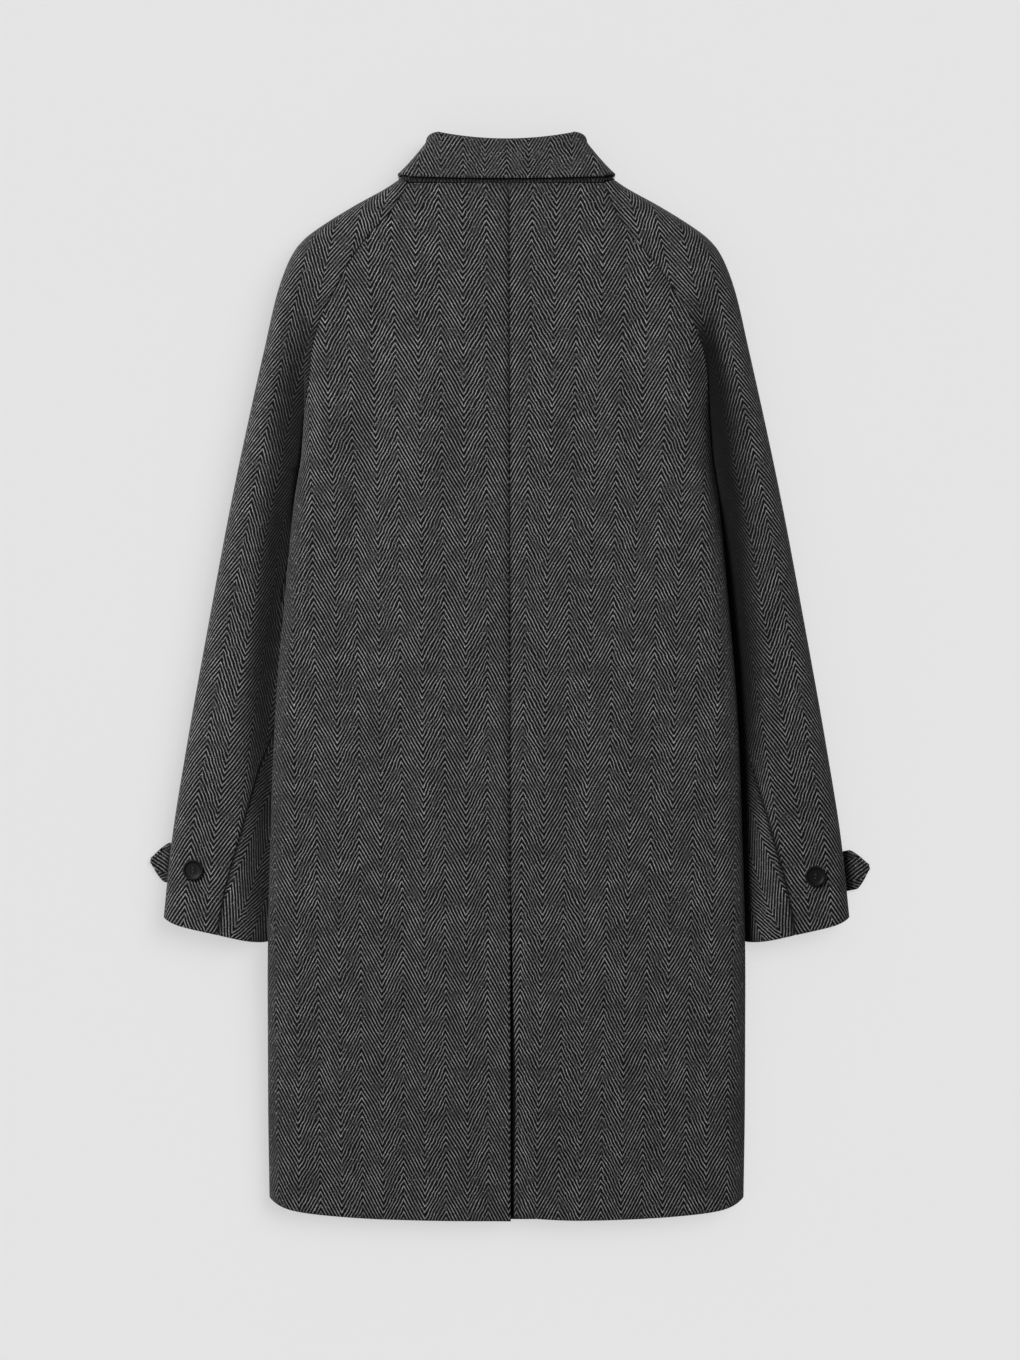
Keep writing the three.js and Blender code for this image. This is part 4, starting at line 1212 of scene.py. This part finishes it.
@dataclass
class Collar:
    """The collar's stand and fall, as rings round the neck."""

    wool: bpy.types.Material
    stand: float = 34.1
    seat: float = 0.7
    fold_half: float = 80
    bow: float = 6.7
    tilt: float = 8
    fold_top: float = 27
    band: float = 3
    fold_gap: float = 3.4
    roll_high: float = 6.2
    flare: float = 2.5
    roll_share: float = 0.3
    fall_end: float = 4
    leaf: float = 30
    stand_end: float = 1
    spread: float = 24
    edge_bow: float = 1.4
    fall_cloth: float = 60
    nap: float = 0.38
    columns: int = 260

    def build(self) -> None:
        """Makes both pieces."""
        heights = np.linspace(0.25, self.stand - 0.5, 16)
        stand = self.rings([self.stand_profile(height) for height in heights], heights)
        middle = self.columns // 2
        sheet = Sheet("collar_stand_cloth", *stand, (8, middle), True, self.band)
        dress(sheet, "collar_stand", self.wool)
        rolled = np.linspace(0, self.roll_share, 16)
        shares = np.concatenate([rolled, np.linspace(self.roll_share, 0.985, 30)[1:]])
        fall = self.rings([self.fall_profile(float(share)) for share in shares], self.fall_cloth * shares)
        sheet = Sheet("collar_fall_cloth", *fall, (38, middle), True, self.band, rim_out=1.3)
        dress(sheet, "collar_fall", self.wool)

    def rings(self, profiles: list[dict[str, float]], down: Array) -> tuple[Array, Array]:
        """The grid of points through these rings, with its weave and the painted shadow under the fall."""
        rows, weaves = [], []
        for profile, level in zip(profiles, down):
            line = self.ring(profile)
            length = line_length(line)
            across = length - length[len(length) // 2] + 21.75
            # Painted shadow that the fall casts on the stand's lower part.
            shade = 0.9 * float(bell(level - 3, 4.5)) if profile["down"] == 0 and level < self.stand else 0.0
            weave = np.stack([across, 0 * across + level, 0 * across + self.nap, 0 * across + shade], axis=-1)
            points, weave = trimmed(line, weave, 1.4, 1.4, self.columns)
            rows.append(points)
            weaves.append(weave)
        return np.array(rows), np.array(weaves)

    def ring(self, profile: dict[str, float]) -> Array:
        """A dense line round the neck, from one front end over the back to the other."""
        corner = CUT.corner_half - CUT.neck_half
        half, seam_line, top, bottom = (profile[key] for key in ("half", "seam_line", "top", "bottom"))
        middle = mix(bottom, top, 0.45)
        side_drop = profile["back_drop"] - profile["bow"]
        lines = []
        for side in Side:
            x = np.linspace(0, half - corner, 60)
            bow = profile["bow"] * clamp((x / (seam_line - corner)) ** 2)
            over = place(side, x, profile["back_drop"] - bow, top + self.unevenness(side.value * x, profile))
            angle = np.linspace(0, math.pi, 61)[1:]
            rise = np.where(angle < math.pi / 2, top - middle, middle - bottom)
            drop = side_drop + profile["tilt"] * smooth(angle / math.pi)
            drop = drop - profile["corner_rise"] * np.sqrt(np.maximum(np.sin(angle), 0))
            turn = place(side, half - corner * (1 - np.sin(angle)), drop, middle + rise * np.cos(angle))
            x = np.linspace(half - corner, profile["end"], 60)[1:]
            curve = clamp((x / (seam_line - corner)) ** 2)
            beneath = place(side, x, mix(profile["front_drop"], side_drop + profile["tilt"], curve), bottom)
            lines.append(np.concatenate([over, turn, beneath]))
        left, right = lines
        return np.concatenate([left[::-1], right[1:]])

    def unevenness(self, signed: Array, profile: dict[str, float]) -> Array:
        """The small waves of the collar's upper wall."""
        return 0.5 * ripple(1.5 * signed, 40 * profile["down"], 2.0) * profile["down"]

    def stand_profile(self, height: float) -> dict[str, float]:
        """The stand's sizes at a height above the neck seam."""
        share = float(clamp(height / self.stand))
        half = float(mix(CUT.corner_half, self.fold_half, share**0.8))
        return {
            "half": half,
            "seam_line": half,
            "top": float(mix(29, self.fold_top, share)),
            "bottom": self.band + CUT.gap,
            "back_drop": -self.seat - height,
            "front_drop": CUT.neck_dip - 3 * self.seat - height,
            "bow": self.bow * share,
            "corner_rise": CUT.corner_rise * (1 - share),
            "tilt": self.tilt * share,
            "end": self.stand_end,
            "down": 0.0,
        }

    def fall_profile(self, share: float) -> dict[str, float]:
        """The fall's sizes: it rolls over the stand and comes down outside to its free edge."""
        turn = math.pi * float(clamp(share / self.roll_share))
        down = float(clamp((share - self.roll_share) / (1 - self.roll_share)))
        radius = (self.band * 2 + CUT.gap) / 2
        out = radius - self.band - radius * math.cos(turn)
        fold_high = self.stand + self.fold_gap + self.roll_high * math.sin(turn)
        height = float(mix(fold_high, self.fall_end, down))
        stand = self.stand_profile(height)
        flare = self.flare * down
        neck = CUT.corner_half - (CUT.corner_half - self.fold_half) * (min(height, 37.5) / self.stand) ** 0.8
        return {
            **stand,
            "half": neck + out + flare,
            "top": stand["top"] + out + flare,
            "bottom": max(0.0, stand["bottom"] - out),
            "front_drop": stand["front_drop"] + (self.leaf + self.fall_end) * down**1.5,
            "bow": float(mix(self.bow, self.edge_bow, down)),
            "tilt": self.tilt * (1 - down),
            "end": float(mix(self.stand_end, self.spread, down**1.5)),
            "down": down,
        }


@dataclass(frozen=True)
class StrapPlace:
    """Where a cuff strap's point lies beyond the sleeve, and how far the strap lies under it."""

    tip_half: float
    tip_drop: float
    lean: float
    inside: float = 78


STRAPS = {
    Side.LEFT: StrapPlace(358.5, 678, 0.138),
    Side.RIGHT: StrapPlace(365.5, 684.5, 0.19),
}


@dataclass
class CuffStrap:
    """A pointed cuff strap of two sewn layers, which lies under its sleeve."""

    wool: bpy.types.Material
    thread: bpy.types.Material
    side: Side
    width: float = 40
    point: float = 17.5
    thick: float = 4.4
    stitch_in: float = 4.6

    def build(self) -> None:
        """Makes the strap and its edge stitching."""
        where = STRAPS[self.side]
        tail = np.linspace(-where.inside + 1.5, -self.point - 2, 30)
        along = np.concatenate([tail, np.linspace(-self.point, -1.6, 18)])
        half_width = self.half_width(along) - 1.4
        across = np.linspace(-1, 1, 22)
        x = np.repeat(along[:, None], len(across), axis=1)
        y = half_width[:, None] * across[None, :]
        edge = (np.abs(across[None, :]) * half_width[:, None]) - half_width[:, None] + self.stitch_in
        channel = 0.8 * bell(edge, 1.3)
        height = self.thick - channel + 0.15 * ripple(6 * x, 6 * y, 1.0)
        points = self.to_row_frame(x, y, height)
        sleeve_edge = OUTER_EDGE.at("half", CUT.nape_y - points[..., 1])
        past_sleeve = np.abs(points[..., 0] - CUT.centre_x) - sleeve_edge
        # Painted shade in the stitch channels and painted shadow where the sleeve's edge lies over the strap.
        hollow = np.maximum(0.5 * bell(edge, 1.2), 0.85 * smooth(1 - past_sleeve / 6))
        weave = np.stack([y + 11, x, 0 * x + 0.35, hollow], axis=-1)
        name = f"cuff_strap_{self.side.word}_cloth"
        sheet = Sheet(name, points, weave, (20, 10), True, self.thick - 1.1, rim_steps=6, rim_out=1.4)
        dress(sheet, f"cuff_strap_{self.side.word}", self.wool)
        stitches = Stitches(f"cuff_strap_{self.side.word}_stitches", self.thread, 2.6, 0.5)
        for sign in (-1, 1):
            inner = np.linspace(-self.point - 8, -3.5, 60)
            aside = sign * np.maximum(self.half_width(inner) - self.stitch_in, 0.4)
            stitches.along(self.to_row_frame(inner, aside, self.thick - 0.35 + 0 * inner), 3.4)
        stitches.build()

    def half_width(self, along: Array) -> Array:
        """Half the strap's width at a place along it, rounded at the shoulders of its point."""
        taper = clamp(-along / self.point)
        return self.width / 2 * (1 - (1 - taper) ** 1.35) + 0.9 * (1 - taper)

    def to_row_frame(self, along: Array, across: Array, height: Array) -> Array:
        """Points of the strap in the row frame."""
        where = STRAPS[self.side]
        angle = math.atan(where.lean)
        half = where.tip_half + along * math.cos(angle) + across * math.sin(angle)
        drop = where.tip_drop - along * math.sin(angle) + across * math.cos(angle)
        return place(self.side, half, drop, height)


@dataclass
class Stitches:
    """A run of sewing stitches: one stitch modelled once and copied along lines."""

    name: str
    thread: bpy.types.Material
    length: float
    thick: float
    shape: Array = field(init=False)
    faces: list[list[int]] = field(init=False)
    copies: list[Array] = field(default_factory=list)

    def __post_init__(self) -> None:
        """Models the stitch that is copied."""
        bpy.ops.object.select_all(action="DESELECT")
        bpy.ops.mesh.primitive_uv_sphere_add(segments=6, ring_count=5, radius=0.5)
        stitch = bpy.context.object
        bpy.ops.object.mode_set(mode="EDIT")
        bpy.ops.mesh.select_all(action="SELECT")
        bpy.ops.transform.resize(value=(self.thick, self.thick, self.length))
        bpy.ops.object.mode_set(mode="OBJECT")
        self.shape = np.array([v.co[:] for v in stitch.data.vertices])
        self.faces = [list(face.vertices) for face in stitch.data.polygons]
        mesh = stitch.data
        bpy.data.objects.remove(stitch)
        bpy.data.meshes.remove(mesh)

    def one(self, start: Array, end: Array) -> None:
        """Adds one stitch between two points."""
        run = (end - start) / max(float(np.linalg.norm(end - start)), 1e-9)
        aside = np.cross(run, [0, 0, 1])
        aside /= max(float(np.linalg.norm(aside)), 1e-9)
        up = np.cross(run, aside)
        turn = np.stack([aside, up, run])
        self.copies.append(self.shape @ turn + (start + end) / 2)

    def along(self, line: Array, pitch: float) -> None:
        """Adds stitches along a line, one to each pitch."""
        length = line_length(line)
        for at in np.arange(pitch / 2, length[-1], pitch):
            ends = [
                np.array([np.interp(at + shift, length, column) for column in line.T])
                for shift in (-self.length / 2, self.length / 2)
            ]
            self.one(*ends)

    def build(self) -> bpy.types.Object:
        """Joins the stitches in one piece that rides on the coat."""
        mesh = bpy.data.meshes.new(self.name)
        count = len(self.shape)
        faces = [[i + n * count for i in face] for n in range(len(self.copies)) for face in self.faces]
        mesh.from_pydata((np.concatenate(self.copies) * MM).tolist(), [], faces)
        mesh.polygons.foreach_set("use_smooth", np.ones(len(faces), bool))
        mesh.materials.append(self.thread)
        piece = bpy.data.objects.new(self.name, mesh)
        bpy.context.scene.collection.objects.link(piece)
        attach(piece, "root")
        return piece


@dataclass
class CuffButton:
    """A four-hole button with a rim, sewn on through its holes."""

    horn: bpy.types.Material
    thread: bpy.types.Material
    side: Side
    radius: float = 10.25
    thick: float = 3.6
    rim: float = 1.9
    dish: float = 0.9
    hole: float = 0.95
    pitch: float = 1.8

    def build(self) -> None:
        """Makes the button and its thread."""
        low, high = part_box(f"cuff_button_{self.side.word}")
        centre = Vector(((low.x + high.x) / 2, (low.y + high.y) / 2, low.z))
        button = self.disc(centre)
        self.drill(button, centre)
        button.name = f"cuff_button_{self.side.word}_horn"
        button.data.materials.clear()
        button.data.materials.append(self.horn)
        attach(button, "root")
        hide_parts(f"cuff_button_{self.side.word}")
        stitches = Stitches(f"cuff_button_{self.side.word}_thread", self.thread, 2 * self.pitch + 0.6, 0.4)
        middle = np.array(centre) / MM
        top = self.thick - self.dish + 0.15
        for sign in (-1, 1):
            for shift in (-0.3, 0.3):
                start = middle + np.array([-self.pitch, sign * self.pitch + shift, top])
                stitches.one(start, start + np.array([2 * self.pitch, 0, 0]))
        stitches.build()

    def disc(self, centre: Vector) -> bpy.types.Object:
        """The turned disc with its rim and dished middle."""
        bpy.ops.object.select_all(action="DESELECT")
        middle = centre + Vector((0, 0, self.thick / 2 * MM))
        bpy.ops.mesh.primitive_cylinder_add(
            vertices=72, radius=self.radius * MM, depth=self.thick * MM, location=middle
        )
        button = bpy.context.object
        bpy.ops.object.transform_apply(location=True, rotation=True, scale=True)
        bpy.ops.object.mode_set(mode="EDIT")
        bpy.ops.mesh.select_all(action="DESELECT")
        bpy.ops.object.mode_set(mode="OBJECT")
        for face in button.data.polygons:
            face.select = face.normal.z > 0.9
        bpy.ops.object.mode_set(mode="EDIT")
        bpy.ops.mesh.select_mode(type="FACE")
        bpy.ops.mesh.inset(thickness=self.rim * MM)
        bpy.ops.mesh.inset(thickness=0.9 * MM, depth=-self.dish * MM)
        bpy.ops.mesh.inset(thickness=1.6 * MM, depth=-0.12 * MM)
        bpy.ops.object.mode_set(mode="OBJECT")
        bevel = button.modifiers.new("rounding", "BEVEL")
        bevel.width = 0.55 * MM
        bevel.segments = 3
        bevel.limit_method = "ANGLE"
        bevel.angle_limit = math.radians(24)
        bpy.ops.object.modifier_apply(modifier=bevel.name)
        return button

    def drill(self, button: bpy.types.Object, centre: Vector) -> None:
        """Cuts the four holes."""
        for x in (-1, 1):
            for y in (-1, 1):
                at = centre + Vector((x * self.pitch * MM, y * self.pitch * MM, self.thick / 2 * MM))
                bpy.ops.object.select_all(action="DESELECT")
                bpy.ops.mesh.primitive_cylinder_add(
                    vertices=20, radius=self.hole * MM, depth=3 * self.thick * MM, location=at
                )
                drill = bpy.context.object
                bpy.ops.object.select_all(action="DESELECT")
                button.select_set(True)
                bpy.context.view_layer.objects.active = button
                cut = button.modifiers.new("hole", "BOOLEAN")
                cut.operation = "DIFFERENCE"
                cut.solver = "EXACT"
                cut.object = drill
                bpy.ops.object.modifier_apply(modifier=cut.name)
                bpy.data.objects.remove(drill)
        bpy.ops.object.shade_smooth_by_angle(angle=math.radians(35))


@dataclass
class Studio:
    """The floor, the lights and the camera."""

    pixels: tuple[int, int] = (1020, 1360)
    distance: float = 4.0
    surface: float = 25

    def build(self) -> None:
        """Makes the stage round the coat."""
        floor = self.floor()
        self.camera()
        self.lights(floor)
        bpy.context.scene.view_settings.view_transform = "Standard"
        bpy.context.scene.view_settings.look = "None"

    def floor(self) -> bpy.types.Object:
        """The pale floor on which the coat lies."""
        bpy.ops.object.select_all(action="DESELECT")
        bpy.ops.mesh.primitive_plane_add(size=9, location=(0, 0, -0.0006))
        floor = bpy.context.object
        bpy.ops.object.transform_apply(location=True, rotation=True, scale=True)
        floor.name = "floor"
        paint = Plain("pale_floor", (0.785, 0.785, 0.785), 0.95, 3, 0.01, specular=0.0, vary=0.004)
        floor.data.materials.append(paint.material())
        floor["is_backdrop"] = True
        return floor

    def camera(self) -> None:
        """The camera, straight above with a long lens: one millimetre to a pixel."""
        data = bpy.data.cameras.new("camera")
        data.sensor_width = 36
        data.lens = data.sensor_width * self.distance / (self.pixels[1] * MM)
        camera = bpy.data.objects.new("camera", data)
        camera.location = (0, -3 * MM, self.distance + self.surface * MM)
        bpy.context.scene.collection.objects.link(camera)
        bpy.context.scene.camera = camera

    def lights(self, ground: bpy.types.Object) -> None:
        """A soft key from the upper left, a soft sky, and a light of the floor's own."""
        world = bpy.data.worlds.new("studio")
        world.use_nodes = True
        world.node_tree.nodes["Background"].inputs["Color"].default_value = (1, 1, 1, 1)
        world.node_tree.nodes["Background"].inputs["Strength"].default_value = 0.16
        bpy.context.scene.world = world
        coat_light = self.lamp("key", "AREA", (-1.3, 1.0, 2.3), 79)
        coat_light.data.size = 1.0
        side_light = self.lamp("floor_side_light", "SUN", (1.5, 1.0, 1.9), 0.66)
        side_light.data.angle = math.radians(45)
        top_light = self.lamp("floor_top_light", "SUN", (0, 0.001, 4), 2.13)
        top_light.data.angle = math.radians(8)
        cloth = bpy.data.collections.new("lit_by_the_key")
        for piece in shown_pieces():
            cloth.objects.link(piece)
        floor = bpy.data.collections.new("lit_by_the_floor_light")
        floor.objects.link(ground)
        coat_light.light_linking.receiver_collection = cloth
        side_light.light_linking.receiver_collection = floor
        top_light.light_linking.receiver_collection = floor

    def lamp(
        self, name: str, kind: str, location: tuple[float, float, float], power: float
    ) -> bpy.types.Object:
        """A light that looks at the coat's middle."""
        data = bpy.data.lights.new(name, kind)
        data.energy = power
        light = bpy.data.objects.new(name, data)
        turn = Vector(location).to_track_quat("Z", "Y").to_matrix().to_4x4()
        light.matrix_world = Matrix.Translation(location) @ turn
        bpy.context.scene.collection.objects.link(light)
        return light


def main() -> None:
    """Builds the coat's pieces and the studio."""
    logging.basicConfig(level=logging.INFO, format="%(name)s %(message)s")
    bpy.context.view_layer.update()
    wool = Wool().material()
    horn = Plain("black_horn", (0.0036, 0.0036, 0.0038), 0.45, 220, 0.05, 0.2).material()
    thread = Plain("grey_thread", (0.075, 0.075, 0.078), 0.8, 900, 0.1, 0.2).material()
    Body(wool).build()
    Sleeve(wool).build()
    Collar(wool).build()
    for side in Side:
        CuffStrap(wool, thread, side).build()
        CuffButton(horn, thread, side).build()
    Studio().build()


if __name__ == "__main__":
    main()
